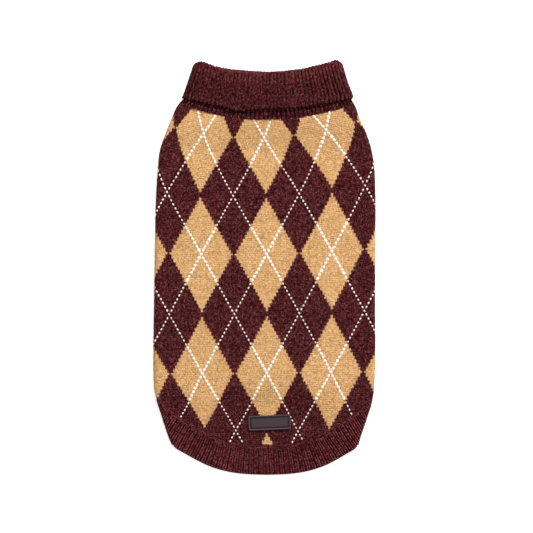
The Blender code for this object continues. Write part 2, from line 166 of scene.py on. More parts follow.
COLLAR_TOP = (
    # turn, y
    (-3.00, 0.1890),
    (-2.50, 0.1915),
    (-2.00, 0.1968),
    (-1.50, 0.1955),
    (-1.00, 0.1975),
    (-0.83, 0.1945),
    (-0.66, 0.1903),
    (-0.49, 0.1880),
    (-0.25, 0.1866),
    (0.00, 0.1872),
    (0.20, 0.1882),
    (0.45, 0.1902),
    (0.71, 0.1939),
    (0.89, 0.1968),
    (1.00, 0.1987),
    (1.50, 0.1965),
    (2.00, 0.1972),
    (2.50, 0.1915),
    (3.00, 0.1890),
)
COLLAR_EDGE = (
    # turn, y
    (-3.00, 0.1545),
    (-2.00, 0.1632),
    (-1.50, 0.1635),
    (-0.96, 0.1616),
    (-0.74, 0.1569),
    (-0.54, 0.1541),
    (-0.36, 0.1503),
    (-0.18, 0.1508),
    (0.02, 0.1522),
    (0.20, 0.1517),
    (0.37, 0.1532),
    (0.66, 0.1569),
    (0.96, 0.1610),
    (1.50, 0.1635),
    (2.00, 0.1632),
    (3.00, 0.1545),
)

# ---- the knitting --------------------------------------------------------------------------------
TURN_WALES = 52.1         # stitches from the back's centre line to a side fold
SEAM_WALE = 66.9          # stitches from there to the side seam
COURSE = 0.001776         # height of one row of stitches
BELLY_CENTRE_Y = 0.0131   # station of the belly's row 0
DIAMOND = (16, 32)        # half a diamond, in wales and courses
DIAMOND_EDGE = 0.95       # share of half a diamond at which its colour ends
CHART_START = -103        # the lowest row with tan in it
CHART_SHIFT_WALES = 14    # stitches before a side seam over which the chart's shift fades
RIB_WALES = 0.56          # share of a collar rib's pitch that its knit stitches take
HEM_WALES = 0.46          # the same for a hem rib
RIB_PAINTED_HIGHLIGHT = 2.9            # painted highlight: how much paler the hem ribs' stitches are than the panels'
RIB_PAIR = 0.05           # how far two hem ribs draw together over the weak groove between them

# The back's stitches are drawn in at the neck and the hem, and the chart leans a little.
STITCH_WIDTHS = (
    # y, width of a stitch, how far the chart's centre line lies right of the back's, and how much
    # wider the stitches right of the middle diamonds are
    (-0.185, 0.00186, 0.0022, 0.00),
    (-0.155, 0.00187, 0.0022, 0.00),
    (-0.130, 0.00189, 0.0024, 0.00),
    (-0.100, 0.00193, 0.0023, 0.00),
    (-0.044, 0.00195, 0.0022, 0.00),
    (0.013, 0.00196, 0.0013, 0.00),
    (0.072, 0.00198, 0.0002, 0.00),
    (0.099, 0.00193, -0.0008, 0.03),
    (0.125, 0.00182, -0.0021, 0.10),
    (0.148, 0.00165, -0.0036, 0.15),
    (0.160, 0.00161, -0.0038, 0.15),
)
# Its rows bow upwards to the side folds, more so near the neck.
COURSES = (
    # course, y in the middle, rise at the folds, how much more at the right one than at the left
    (-112, -0.1850, 0.0000, -0.0014),
    (-96, -0.1575, 0.0000, -0.0014),
    (-80, -0.1303, 0.0000, 0.0005),
    (-32, -0.0449, 0.0012, 0.0018),
    (0, 0.0121, 0.0036, 0.0022),
    (32, 0.0685, 0.0076, 0.0034),
    (64, 0.1240, 0.0148, 0.0029),
    (88, 0.1660, 0.0170, 0.0029),
)

# Soft ridges that the cloth keeps from handling: start, end, half width and height.
CREASES = (
    # x0, y0, x1, y1, width, rise
    (-0.094, 0.062, -0.052, 0.030, 0.015, 0.0006),
    (0.088, 0.082, 0.058, 0.018, 0.016, 0.0006),
    (-0.060, -0.052, -0.012, -0.070, 0.017, 0.0004),
    (0.034, -0.020, 0.082, -0.048, 0.016, 0.0005),
    (-0.082, -0.112, -0.050, -0.134, 0.013, 0.0005),
    (0.070, -0.104, 0.044, -0.138, 0.013, 0.0005),
    (-0.022, 0.096, 0.016, 0.106, 0.015, 0.0004),
    (0.004, -0.112, 0.030, -0.100, 0.013, 0.0003),
)

FOLD_EASE = (1.0, 1.45)   # turns over which the knit stops standing proud, as underneath it rests
BASE_HEIGHT = (-0.0002, -0.0007)    # the ground between the stitches, on top and underneath
RIDGE_FADE = 0.06         # stretch of turn before a side fold in which the soft ridges fade
BACK_TURN = 1.5           # turn up to which a side fold goes with the back
CREASE_ENDS = 0.35        # share of a soft ridge's height that is left at its ends
STITCH_SINK = 0.0001      # how far stitches sink into the ribs


# ---- small tools ---------------------------------------------------------------------------------
def mix(a, b, share):
    return a + (b - a) * share


def ease(value):
    """0 to 1 with soft ends."""
    value = np.clip(value, 0.0, 1.0)
    return value * value * (3 - 2 * value)


def smooth_table(rows):
    """A smooth curve through a table: its first column gives the others."""
    table = np.array(rows, float)
    keys, values = table[:, 0], table[:, 1:]
    low = np.maximum(np.arange(len(keys)) - 1, 0)
    high = np.minimum(np.arange(len(keys)) + 1, len(keys) - 1)
    slopes = (values[high] - values[low]) / (keys[high] - keys[low])[:, None]

    def value(key):
        key = np.clip(np.asarray(key, float), keys[0], keys[-1])
        i = np.clip(np.searchsorted(keys, key, side="right") - 1, 0, len(keys) - 2)
        span = (keys[i + 1] - keys[i])[..., None]
        t = (key - keys[i])[..., None] / span
        found = ((2 * t**3 - 3 * t**2 + 1) * values[i] + (t**3 - 2 * t**2 + t) * span * slopes[i]
                 + (3 * t**2 - 2 * t**3) * values[i + 1] + (t**3 - t**2) * span * slopes[i + 1])
        return found[..., 0] if found.shape[-1] == 1 else np.moveaxis(found, -1, 0)

    return value


sides_at = smooth_table(SIDES)
hem_seam_at = smooth_table(HEM_SEAM)
neck_seam_at = smooth_table(NECK_SEAM)
collar_top_at = smooth_table(COLLAR_TOP)
collar_edge_at = smooth_table(COLLAR_EDGE)
stitch_width_at = smooth_table(STITCH_WIDTHS)
course_at = smooth_table(COURSES)


# ---- the flattened tube --------------------------------------------------------------------------
class Ring(NamedTuple):
    """The tube's outer skin at a station: a flattened loop."""
    centre: np.ndarray
    flat: np.ndarray       # half length of the flat layers
    radius: np.ndarray     # radius of the side folds
    lift: np.ndarray       # the underside's height
    pinch: np.ndarray      # how far the top layer sinks


def ring_at(y):
    centre, half = sides_at(y)
    raised = ease((y - NECK_RISE[0]) / (NECK_RISE[1] - NECK_RISE[0]))
    radius = mix(BODY_FOLD, NECK_FOLD, raised)
    return Ring(centre, half - radius, radius, NECK_LIFT * raised, BODY_PINCH * (1 - raised))


def loop_point(flat, radius, turn):
    """Across and up from the middle of a flattened loop."""
    side, turn = np.sign(turn), np.abs(turn)
    angle = (np.clip(turn, 1, 2) - 1) * np.pi
    over = np.where(turn <= 1, turn, np.where(turn <= 2, 1, 3 - turn))
    return side * (over * flat + radius * np.sin(angle)), radius * np.cos(angle)


def loop_turn(on_top, past, fold, flat):
    """A turn: on_top before the side fold, then by how far it lies past the fold's start."""
    return np.where(past <= 0, on_top, np.where(past <= fold, 1 + past / fold, 2 + (past - fold) / flat))


def turn_of(run, y):
    """The turn that lies a run of cloth away from the back's centre line."""
    ring = ring_at(y)
    return np.minimum(loop_turn(run / ring.flat, run - ring.flat, np.pi * ring.radius, ring.flat), 3)


def seam_stations(seam_at, longest):
    """A seam's station for a turn on either side."""
    runs = np.arange(0, longest, SEAM_STEP)
    stations = seam_at(runs)
    turns = turn_of(runs, stations)
    return lambda turn: np.interp(np.abs(turn), turns, stations)


hem_station = seam_stations(hem_seam_at, HEM_SEAM[-1][0])
neck_station = seam_stations(neck_seam_at, NECK_SEAM[-1][0])


def hem_courses():
    """The hem rib's lines on the unrolled tube: distance along the band, run, y and direction."""
    runs = np.arange(0, HEM_SEAM[-1][0], SEAM_STEP)
    rises = (hem_seam_at(runs + SEAM_STEP) - hem_seam_at(runs - SEAM_STEP)) / (2 * SEAM_STEP)
    lengths = np.hypot(1, rises)
    lines = np.stack([runs, hem_seam_at(runs), rises / lengths, -1 / lengths])
    middle = lines[:2] + lines[2:] * HEM_WIDTH / 2
    steps = np.hypot(*np.diff(middle, axis=1))
    return np.concatenate([[0], np.cumsum(steps)]), lines


HEM_DISTANCES, HEM_LINES = hem_courses()


def hem_place(distance, share):
    """Run and station in the hem rib: share 0 is its seam and 1 its free edge."""
    run, y, across, along = (np.interp(np.abs(distance), HEM_DISTANCES, line) for line in HEM_LINES)
    return run + across * HEM_WIDTH * share, y + along * HEM_WIDTH * share


def belly_opening():
    """The belly hem's free edge, seen from above, from the side fold to the centre line."""
    run, y = hem_place(HEM_DISTANCES, 1.0)
    turn = turn_of(run, y)
    ring = ring_at(y)
    x = loop_point(ring.flat, ring.radius, turn)[0]
    under = turn >= BACK_TURN
    return x[under][::8], y[under][::8]


BELLY_EDGE = belly_opening()


def near_line(x, y, x0, y0, x1, y1):
    """Distance from a straight line between two points, and how far along it the nearest point is."""
    dx, dy = x1 - x0, y1 - y0
    share = np.clip(((x - x0) * dx + (y - y0) * dy) / (dx * dx + dy * dy), 0, 1)
    return np.hypot(x - x0 - share * dx, y - y0 - share * dy), share


def past_belly(x, y):
    """How far a point of the back lies past the belly's free edge, or 0 above the belly."""
    x = np.abs(x)
    edge_x, edge_y = BELLY_EDGE
    nearest = np.full(np.broadcast(x, y).shape, np.inf)
    for line in zip(edge_x, edge_y, edge_x[1:], edge_y[1:]):
        nearest = np.minimum(nearest, near_line(x, y, *line)[0])
    order = np.argsort(edge_x)
    above = y > np.interp(x, edge_x[order], edge_y[order])
    return np.where(above, 0.0, nearest)


def crease_lift(x, y):
    """How much the soft ridges raise the top layer."""
    lift = 0.0
    for *line, width, rise in CREASES:
        distance, share = near_line(x, y, *line)
        away = distance / width
        lift = lift + rise * np.exp(-away * away) * mix(CREASE_ENDS, 1, np.sin(np.pi * share))
    return lift


def cloth(turn, y, height=0.0):
    """Points of the body's outer skin, and at a height out of it."""
    ring = ring_at(y)
    x, z = loop_point(ring.flat, ring.radius + height, turn)
    z = z + ring.lift + ring.radius
    top = np.abs(turn) < 2
    z = z - np.where(top, ring.pinch * ease((ring.flat - np.abs(x)) / PINCH_RUN), 0)
    drop = ease((past_belly(x, y) - FLAP_START) / FLAP_RUN)
    z = np.where(np.abs(turn) <= BACK_TURN, mix(z, WALL + height, drop), z)
    lift = crease_lift(x, y) * ease((1.0 - np.abs(turn)) / RIDGE_FADE)
    return np.stack(np.broadcast_arrays(ring.centre + x, y, z + lift), axis=-1)


def fold_share(turn):
    """0 on the top layer to 1 where the cloth lies on the surface."""
    return ease((np.abs(turn) - FOLD_EASE[0]) / (FOLD_EASE[1] - FOLD_EASE[0]))


def ground(turn, rise=BASE_HEIGHT[0]):
    """Height of the ground between the stitches, or of ribs that rise on top and rest underneath."""
    return mix(rise, BASE_HEIGHT[1], fold_share(turn))


# ---- stitch counts to places ---------------------------------------------------------------------
def back_place(wale, course):
    """Turn and station of a point of the back, in stitches from the chart's centre."""
    near = ease((SEAM_WALE - np.abs(wale)) / CHART_SHIFT_WALES)
    share = np.clip(wale / TURN_WALES, -1, 1)
    station, bow, tilt = course_at(course)
    y = station + bow * share**2 + tilt * share * near
    width, centre, wider = stitch_width_at(y)
    ring = ring_at(y)
    moved = wale + near * (centre / width + wider * np.maximum(wale - DIAMOND[0], 0))
    side, moved = np.sign(moved), np.abs(moved)
    flat, fold = ring.flat / width, np.pi * ring.radius
    past = (moved - flat) / (SEAM_WALE - flat) * (fold + (SIDE_SEAM - 2) * ring.flat)
    return side * loop_turn(moved / flat, past, fold, ring.flat), y


def back_surface(wale, course, height=0.0):
    turn, y = back_place(wale, course)
    return cloth(turn, y, ground(turn) + height)


def belly_place(wale, course):
    """The same on the belly, counted from its own centre line."""
    turn = 3 - np.abs(wale) / TURN_WALES
    return np.where(wale > 0, -turn, turn), BELLY_CENTRE_Y + course * COURSE


def belly_surface(wale, course, height=0.0):
    turn, y = belly_place(wale, course)
    return cloth(turn, y, BASE_HEIGHT[1] + height)


def collar_turn(rib):
    """The turn of a count of the collar's ribs, whose crests are at halves, from the left end of its top."""
    flat = COLLAR_RIBS / 2
    side, count = np.sign(rib - flat), np.abs(rib - flat)
    return side * loop_turn(count / flat, count - flat, COLLAR_FOLD_RIBS, flat)


COLLAR_LOOP = 2 * COLLAR_RIBS + 2 * COLLAR_FOLD_RIBS      # ribs all round
COLLAR_FIRST = (COLLAR_LOOP - COLLAR_RIBS) / 2            # ribs from the belly's centre line to the top
SCALLOP = 0.0009          # how far the free edge moves down at a rib and up at a groove
SCALLOP_SPREAD = 0.0004   # how much that varies


def scallops():
    """How far the collar's free edge moves at each rib and groove: turn and movement."""
    halves = np.arange(2 * COLLAR_LOOP + 1) / 2 - COLLAR_FIRST
    moved = np.where(halves % 1 > 0.25, -SCALLOP, SCALLOP)
    moved = moved + np.random.default_rng(9).normal(0, SCALLOP_SPREAD, len(halves))
    moved[-1] = moved[0]
    return collar_turn(halves), moved


SCALLOPS = scallops()


def free_edge(turn):
    """Station of the turned-down part's free edge."""
    return collar_edge_at(turn) + np.interp(turn, *SCALLOPS)


COLLAR_BORE = NECK_FOLD - WALL
COLLAR_BEND = (TURN_DOWN_FOLD - COLLAR_BORE) / 2


def collar_layer(turn, radius, y, held=-1.0):
    """A point of one of the collar's layers."""
    centre, half = sides_at(np.maximum(y, held))
    x, z = loop_point(half - NECK_FOLD, radius, turn)
    return np.stack(np.broadcast_arrays(centre + x, y, TURN_DOWN_FOLD + z), axis=-1)


def collar_flap(turn, travel, height=0.0):
    """The turned-down part, over its top and down inside: travel 0 is its free edge, 1 the fold's
    start, 2 its end and 3 the neck seam inside."""
    hinge = collar_top_at(turn) - COLLAR_BEND
    edge, seam = free_edge(turn), neck_station(turn)
    angle = np.clip(travel - 1, 0, 1) * np.pi
    middle = COLLAR_BORE + COLLAR_BEND
    down = mix(edge, hinge, np.minimum(travel, 1))
    over = hinge + (COLLAR_BEND + height) * np.sin(angle)
    inside = mix(hinge, seam, np.clip(travel - 2, 0, 1))
    y = np.where(travel <= 1, down, np.where(travel <= 2, over, inside))
    radius = middle + (COLLAR_BEND + height) * np.cos(angle)
    return collar_layer(turn, radius, y, np.where(travel <= 1, COLLAR_CORNER, -1.0))


def collar_stand(turn, share, height=0.0):
    """The stand's outer side: share 0 is the neck seam and 1 the free edge above it."""
    y = mix(neck_station(turn), collar_edge_at(turn), share)
    return collar_layer(turn, NECK_FOLD + height, y)


def leg_surface(side, angle, share, height=0.0):
    """A leg hole's rib: share 0 is its seam and 1 its free edge."""
    inset = LEG_BAND * share
    x = side * LEG_CENTRE[0] + (LEG_HOLE[0] - inset) * np.cos(angle)
    y = LEG_CENTRE[1] + (LEG_HOLE[1] - inset) * np.sin(angle)
    ring = ring_at(y)
    return np.stack(np.broadcast_arrays(ring.centre + x, y, ring.lift - BASE_HEIGHT[1] - height), axis=-1)


# ---- meshes --------------------------------------------------------------------------------------
class Cloth(NamedTuple):
    """A mesh in the making: points, faces of four corners (the last -1 in a triangle), a shade for each
    point (random tone, with painted shade and painted highlight), its place on the flat map and a look for
    each face."""
    points: np.ndarray
    faces: np.ndarray
    shade: np.ndarray
    flat: np.ndarray
    look: np.ndarray


def grid_faces(rows, columns, closed=False):
    index = np.arange(rows * columns).reshape(rows, columns)
    right = np.roll(index, -1, axis=1)
    if not closed:
        index, right = index[:, :-1], right[:, :-1]
    return np.stack([index[:-1], right[:-1], right[1:], index[1:]], axis=-1).reshape(-1, 4)


def face_edges(faces):
    """Each face's edges in order, with -1 for what a triangle lacks."""
    last = np.where(faces[:, 3] < 0, faces[:, 0], faces[:, 3])
    edges = np.stack([faces[:, :2], faces[:, 1:3], np.stack([faces[:, 2], last], 1),
                      np.stack([faces[:, 3], faces[:, 0]], 1)], axis=1)
    return edges[(edges >= 0).all(axis=2)]


def close_wall(outer, inner, faces, look):
    """A closed wall between two skins that share their faces, with a rim round each opening."""
    count = len(outer)
    edges = face_edges(faces)
    code, back = edges[:, 0] * count + edges[:, 1], edges[:, 1] * count + edges[:, 0]
    rim = edges[~np.isin(code, back)]
    flipped = faces[:, [2, 1, 0, 3]]
    flipped = np.where(flipped >= 0, flipped + count, -1)
    sides = np.stack([rim[:, 1], rim[:, 0], rim[:, 0] + count, rim[:, 1] + count], axis=1)
    all_faces = np.concatenate([faces, flipped, sides])
    all_look = np.concatenate([look, look, np.zeros(len(sides), int)])
    return np.concatenate([outer, inner]), all_faces, all_look


def spread_flat(flat, side=0):
    """A flat map's places brought into the unit square; side 1 is its second half, for inner skins."""
    low, high = flat.min(0), flat.max(0)
    flat = 0.005 + 0.99 * (flat - low) / (high - low)
    return flat * (0.495, 1) + (0.5 * side + 0.0025, 0)


def both_skins(flat):
    """The flat map of a wall whose two skins have the same layout."""
    return np.concatenate([spread_flat(flat), spread_flat(flat, 1)])


def whole_map(flat):
    """The flat map of a closed piece without skins, over almost the whole square."""
    return spread_flat(flat) * (2, 1) * (0.999, 1)


def make_piece(name, cloth_made, materials, replaces=()):
    """A shown piece from a cloth."""
    mesh = bpy.data.meshes.new(name)
    points, faces, shade, flat, look = cloth_made
    real = faces >= 0
    corners = faces[real]
    mesh.vertices.add(len(points))
    mesh.vertices.foreach_set("co", points.astype(np.float32).ravel())
    mesh.loops.add(len(corners))
    mesh.loops.foreach_set("vertex_index", corners.astype(np.int32))
    mesh.polygons.add(len(faces))
    counts = real.sum(axis=1)
    mesh.polygons.foreach_set("loop_start", np.concatenate([[0], np.cumsum(counts)[:-1]]).astype(np.int32))
    mesh.polygons.foreach_set("material_index", look.astype(np.int32))
    mesh.update(calc_edges=True)
    layer = mesh.uv_layers.new(name="OFBake")
    layer.data.foreach_set("uv", flat[corners].astype(np.float32).ravel())
    # the shade carries random tone, painted shade in grooves and gaps and painted highlight on ribs
    mesh.attributes.new("stitch_shade", "FLOAT", "POINT").data.foreach_set("value", shade.astype(np.float32))
    mesh.shade_smooth()
    for material in materials:
        mesh.materials.append(material)
    piece = bpy.data.objects.new(name, mesh)
    bpy.context.scene.collection.objects.link(piece)
    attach(piece, "root")
    if replaces:
        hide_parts(*replaces)
    return piece


class Form(NamedTuple):
    """A small piece of yarn: its corners as share from foot to head, half width and height, and its
    faces."""
    corners: tuple
    faces: tuple


# One leg of a stitch, like a leaf with a raised middle.
LEG = Form(
    (
        # share, width, height
        (0.00, 0.0, -0.25),
        (0.46, -1.0, -0.20),
        (0.54, 1.0, -0.20),
        (0.27, 0.0, 1.00),
        (0.74, 0.0, 0.92),
        (1.00, 0.0, -0.25),
    ),
    ((0, 2, 3), (0, 3, 1), (1, 3, 4), (3, 2, 4), (1, 4, 5), (4, 2, 5)),
)
# One stitch of the thin lines, like a grain of rice.
GRAIN = Form(
    (
        # share, width, height
        (0.00, 0.00, -0.1),
        (0.13, -0.72, 0.3),
        (0.13, 0.72, 0.3),
        (0.50, -1.00, 0.4),
        (0.50, 1.00, 0.4),
        (0.87, -0.72, 0.3),
        (0.87, 0.72, 0.3),
        (1.00, 0.00, -0.1),
        (0.27, 0.00, 1.0),
        (0.73, 0.00, 1.0),
    ),
    ((0, 2, 8), (0, 8, 1), (1, 8, 3), (8, 2, 4), (8, 4, 9), (3, 8, 9), (3, 9, 5), (9, 4, 6), (5, 9, 7),
     (9, 6, 7)),
)
# A loose fibre of the brushed nap, rising from its foot.
FIBRE = Form(
    (
        # share, width, height
        (0.0, 0.0, -0.3),
        (0.5, -1.0, 0.75),
        (0.5, 1.0, 0.75),
        (1.0, 0.0, 1.0),
    ),
    ((0, 2, 1), (1, 2, 3)),
)


FORM_STIR = (0.10, 0.03)      # how far its ends stray across and along, as shares of their reach
FORM_WIDTH_SPREAD = 0.07      # how much its width varies
FORM_HEIGHT_SPREAD = 0.14     # how much its height varies


def place_forms(form, surface, places, feet, heads, width, rise, seed, unevenness=1.0, tone=0.0, spread=1.0):
    """Copies of a form on a surface, pressed flat where they rest. places, feet and heads are in the
    surface's own counts; tone and spread give the copies' shades."""
    rng = np.random.default_rng(seed)
    count = len(places)
    share, wide, high = (np.array(column) for column in zip(*form.corners))
    reach = np.abs(heads - feet).mean(axis=0) * FORM_STIR
    stir = rng.normal(0, unevenness, (4, count, 1)) * np.repeat(reach, 2)[:, None, None]
    across = mix(feet[:, :1] + stir[0], heads[:, :1] + stir[1], share)
    along = mix(feet[:, 1:] + stir[2], heads[:, 1:] + stir[3], share)
    wider = rng.normal(1, FORM_WIDTH_SPREAD * unevenness, (count, 1))
    across = across + np.asarray(width).reshape(-1, 1) * wide * wider
    height = rise * high * rng.normal(1, FORM_HEIGHT_SPREAD * unevenness, (count, 1))
    a, b = places[:, :1] + across, places[:, 1:] + along
    points = surface(a.ravel(), b.ravel(), height.ravel())
    points[:, 2] = np.maximum(points[:, 2], 0.0)
    first = np.arange(count)[:, None, None] * len(form.corners)
    faces = (np.array(form.faces) + first).reshape(-1, 3)
    faces = np.column_stack([faces, np.full(len(faces), -1)])
    shade = np.repeat(rng.normal(tone, spread, count), len(form.corners))
    flat = spread_flat(np.stack([a.ravel(), b.ravel()], axis=1)) * (2, 1)
    return Cloth(points, faces, shade, np.clip(flat, 0, 1), np.zeros(len(faces), int))


STITCH_LEGS = (
    # foot across, foot along, head across, head along
    (-0.05, -0.68, -0.40, 0.68),
    (0.05, -0.68, 0.40, 0.68),
)
STITCH_WIDTH = 0.235          # half width of a leg, as a share of the stitch
FIBRE_WIDTH = 0.12
FIBRE_REACH = (0.35, 0.95)    # shortest and longest half length of a loose fibre, in stitches
FIBRE_UNEVENNESS = 2.0
FIBRE_SHADE = (1.7, 1.4)      # how much paler than the stitches, and how it varies
SHELL_PAINTED_SHADE = (-1.6, 0.5)     # painted shade on the ground between the stitches, where they shade it, and how it varies


def stitches(surface, places, rise, seed, size=(1.0, 1.0), tone=0.0):
    """Knit stitches, two legs each, at places on a surface. size is a stitch in the surface's counts."""
    table = np.array(STITCH_LEGS) * np.tile(size, 2)
    feet, heads = np.tile(table[:, :2], (len(places), 1)), np.tile(table[:, 2:], (len(places), 1))
    tone = np.repeat(np.broadcast_to(tone, len(places)), 2)
    return place_forms(LEG, surface, np.repeat(places, 2, axis=0), feet, heads, STITCH_WIDTH * size[0], rise,
                       seed, tone=tone)


def nap(surface, places, each, rise, seed, size=(1.0, 1.0)):
    """Loose fibres over stitches: so many to each, in all directions."""
    rng = np.random.default_rng(seed)
    chosen = places[rng.integers(0, len(places), round(len(places) * each))]
    chosen = chosen + rng.uniform(-0.5, 0.5, chosen.shape) * size
    angle = rng.uniform(0, 2 * np.pi, len(chosen))
    reach = (np.stack([np.cos(angle), np.sin(angle)], axis=1) * rng.uniform(*FIBRE_REACH, (len(chosen), 1))
             * np.abs(size))
    return place_forms(FIBRE, surface, chosen, -reach, reach, FIBRE_WIDTH * size[0], rise, seed + 1,
                       FIBRE_UNEVENNESS, *FIBRE_SHADE)


# ---- the argyle chart ----------------------------------------------------------------------------
def tan_here(wale, course):
    """Where the chart has a tan diamond."""
    wide, tall = DIAMOND
    du = np.abs((wale + wide) % (2 * wide) - wide) / wide
    dv = np.abs((course + tall) % (2 * tall) - tall) / tall
    return (du + dv < DIAMOND_EDGE) & (course >= CHART_START)


def line_here(wale, course, lean):
    """Where one of the thin lines runs: lean 1 rises to the right, -1 to the left."""
    return (course - 2 * lean * wale) % (2 * DIAMOND[1]) == 0


# ---- materials -----------------------------------------------------------------------------------
def set_inputs(node, values):
    for label, value in values.items():
        node.inputs[label].default_value = value


def add_node(nodes, kind, values=None, **settings):
    """A new node with its settings, and then its sockets' values."""
    node = nodes.new(kind)
    for name, value in settings.items():
        setattr(node, name, value)
    set_inputs(node, values or {})
    return node


def blank_material(name):
    """A new material with its nodes, links and shader."""
    material = bpy.data.materials.new(name)
    material.use_nodes = True
    nodes = material.node_tree.nodes
    return material, nodes, material.node_tree.links, nodes["Principled BSDF"]


def add_bump(nodes, links, shader, height, strength, distance):
    bump = add_node(nodes, "ShaderNodeBump", {"Strength": strength, "Distance": distance})
    links.new(height, bump.inputs["Height"])
    links.new(bump.outputs["Normal"], shader.inputs["Normal"])


def node_group(name, inputs, outputs):
    """A shader node group with its sockets: name, kind and default."""
    group = bpy.data.node_groups.new(name, "ShaderNodeTree")
    for label, kind, default in inputs:
        socket = group.interface.new_socket(label, in_out="INPUT", socket_type=kind)
        socket.default_value = default
    for label, kind in outputs:
        group.interface.new_socket(label, in_out="OUTPUT", socket_type=kind)
    return group, group.nodes.new("NodeGroupInput"), group.nodes.new("NodeGroupOutput")


STREAK_CELL = (0.0009, 0.0026, 0.002)    # how wide, long and high the brushed streaks are
STREAK_LEANS = (0.80, -0.65)             # how far they lean from the length, in radians
PALE_STREAKS = (0.52, 0.64)              # noise at which pale fibres set in, and are all there
DARK_STREAKS = (0.48, 0.36)              # the same for dark fibres
FIBRE_CELL = 0.0009                      # size of single fibres
FIBRE_DEPTH = 0.4                        # how much they change the yarn's lightness
CLOUD_CELL = 0.016                       # size of the soft patches
CLOUD_DEPTH = 0.14
LEAST_LIGHTNESS = 0.15


def brushed_wool_group():
    """Brushed wool: the yarn's colour with paler and darker fibres, and their height."""
    found = bpy.data.node_groups.get("brushed_wool")
    if found:
        return found
    group, start, end = node_group(
        "brushed_wool",
        (("Yarn", "NodeSocketColor", (0.5, 0.5, 0.5, 1)), ("Pale Fibres", "NodeSocketColor", (1, 1, 1, 1)),
         ("Dark Fibres", "NodeSocketColor", (0, 0, 0, 1)), ("Pale Share", "NodeSocketFloat", 0.3),
         ("Dark Share", "NodeSocketFloat", 0.3), ("Stitch Shade", "NodeSocketFloat", 0.08)),
        (("Color", "NodeSocketColor"), ("Height", "NodeSocketFloat")))
    nodes, links = group.nodes, group.links
    place = nodes.new("ShaderNodeTexCoord")

    def noise(cell, lean=0.0, detail=2.0, distortion=0.3):
        """Noise with cells so wide, long and high, leaning from the length."""
        turned = add_node(nodes, "ShaderNodeMapping", {"Rotation": (0, 0, lean), "Scale": cell},
                          vector_type="TEXTURE")
        links.new(place.outputs["Object"], turned.inputs["Vector"])
        node = add_node(nodes, "ShaderNodeTexNoise",
                        {"Scale": 1.0, "Detail": detail, "Roughness": 0.6, "Distortion": distortion})
        links.new(turned.outputs["Vector"], node.inputs["Vector"])
        return node.outputs["Fac"]

    def ramp(value, low, high):
        node = add_node(nodes, "ShaderNodeMapRange", {"From Min": low, "From Max": high},
                        interpolation_type="SMOOTHSTEP")
        links.new(value, node.inputs["Value"])
        return node.outputs["Result"]

    def maths(operation, a, b):
        node = add_node(nodes, "ShaderNodeMath", operation=operation)
        for socket, value in zip(node.inputs, (a, b)):
            if isinstance(value, (int, float)):
                socket.default_value = value
            else:
                links.new(value, socket)
        return node.outputs[0]

    def blend(share, a, b):
        node = add_node(nodes, "ShaderNodeMix", data_type="RGBA")
        links.new(share, node.inputs["Factor"])
        links.new(a, node.inputs["A"])
        links.new(b, node.inputs["B"])
        return node.outputs["Result"]

    left, right = (noise(STREAK_CELL, lean) for lean in STREAK_LEANS)
    fibres = noise((FIBRE_CELL,) * 3, detail=3.0, distortion=1.0)
    clouds = noise((CLOUD_CELL,) * 3, distortion=0.2)
    pale = maths("MULTIPLY", ramp(maths("MAXIMUM", left, right), *PALE_STREAKS), start.outputs["Pale Share"])
    dark = maths("MULTIPLY", ramp(maths("MINIMUM", left, right), *DARK_STREAKS), start.outputs["Dark Share"])
    colour = blend(dark, start.outputs["Yarn"], start.outputs["Dark Fibres"])
    colour = blend(pale, colour, start.outputs["Pale Fibres"])
    # the stitch shade brings in random tone and the painted shade and highlight
    stitch = add_node(nodes, "ShaderNodeAttribute", attribute_name="stitch_shade")
    lightness = maths("ADD", maths("MULTIPLY", stitch.outputs["Fac"], start.outputs["Stitch Shade"]),
                      maths("ADD", maths("MULTIPLY", maths("SUBTRACT", clouds, 0.5), CLOUD_DEPTH),
                            maths("MULTIPLY", maths("SUBTRACT", fibres, 0.5), FIBRE_DEPTH)))
    value = nodes.new("ShaderNodeHueSaturation")
    links.new(maths("MAXIMUM", maths("ADD", lightness, 1.0), LEAST_LIGHTNESS), value.inputs["Value"])
    links.new(colour, value.inputs["Color"])
    links.new(value.outputs["Color"], end.inputs["Color"])
    links.new(maths("ADD", fibres, maths("ADD", left, right)), end.inputs["Height"])
    return group


def wool(name, yarn, pale, dark, pale_share, dark_share, stitch_shade, sheen, sheen_tint):
    """A wool yarn's material."""
    found = bpy.data.materials.get(name)
    if found:
        return found
    material, nodes, links, shader = blank_material(name)
    group = add_node(nodes, "ShaderNodeGroup",
                     {"Yarn": (*yarn, 1), "Pale Fibres": (*pale, 1), "Dark Fibres": (*dark, 1),
                      "Pale Share": pale_share, "Dark Share": dark_share, "Stitch Shade": stitch_shade},
                     node_tree=brushed_wool_group())
    links.new(group.outputs["Color"], shader.inputs["Base Color"])
    add_bump(nodes, links, shader, group.outputs["Height"], 0.7, 0.0005)
    set_inputs(shader, {"Roughness": 0.92, "Specular IOR Level": 0.02, "Sheen Weight": sheen,
                        "Sheen Roughness": 0.35, "Sheen Tint": (*sheen_tint, 1)})
    return material


def maroon_wool(settings):
    return wool("maroon_wool", settings.maroon, settings.maroon_pale, settings.maroon_dark,
                pale_share=0.86, dark_share=0.90, stitch_shade=0.34,
                sheen=0.08, sheen_tint=(0.80, 0.45, 0.45))


def tan_wool(settings):
    return wool("tan_wool", settings.tan, settings.tan_pale, settings.tan_dark,
                pale_share=0.58, dark_share=0.78, stitch_shade=0.08,
                sheen=0.07, sheen_tint=(1.0, 0.85, 0.65))


def white_wool(settings):
    return wool("white_wool", settings.white, (0.93, 0.82, 0.73), (0.50, 0.43, 0.36),
                pale_share=0.5, dark_share=0.35, stitch_shade=0.05,
                sheen=0.05, sheen_tint=(1.0, 1.0, 1.0))


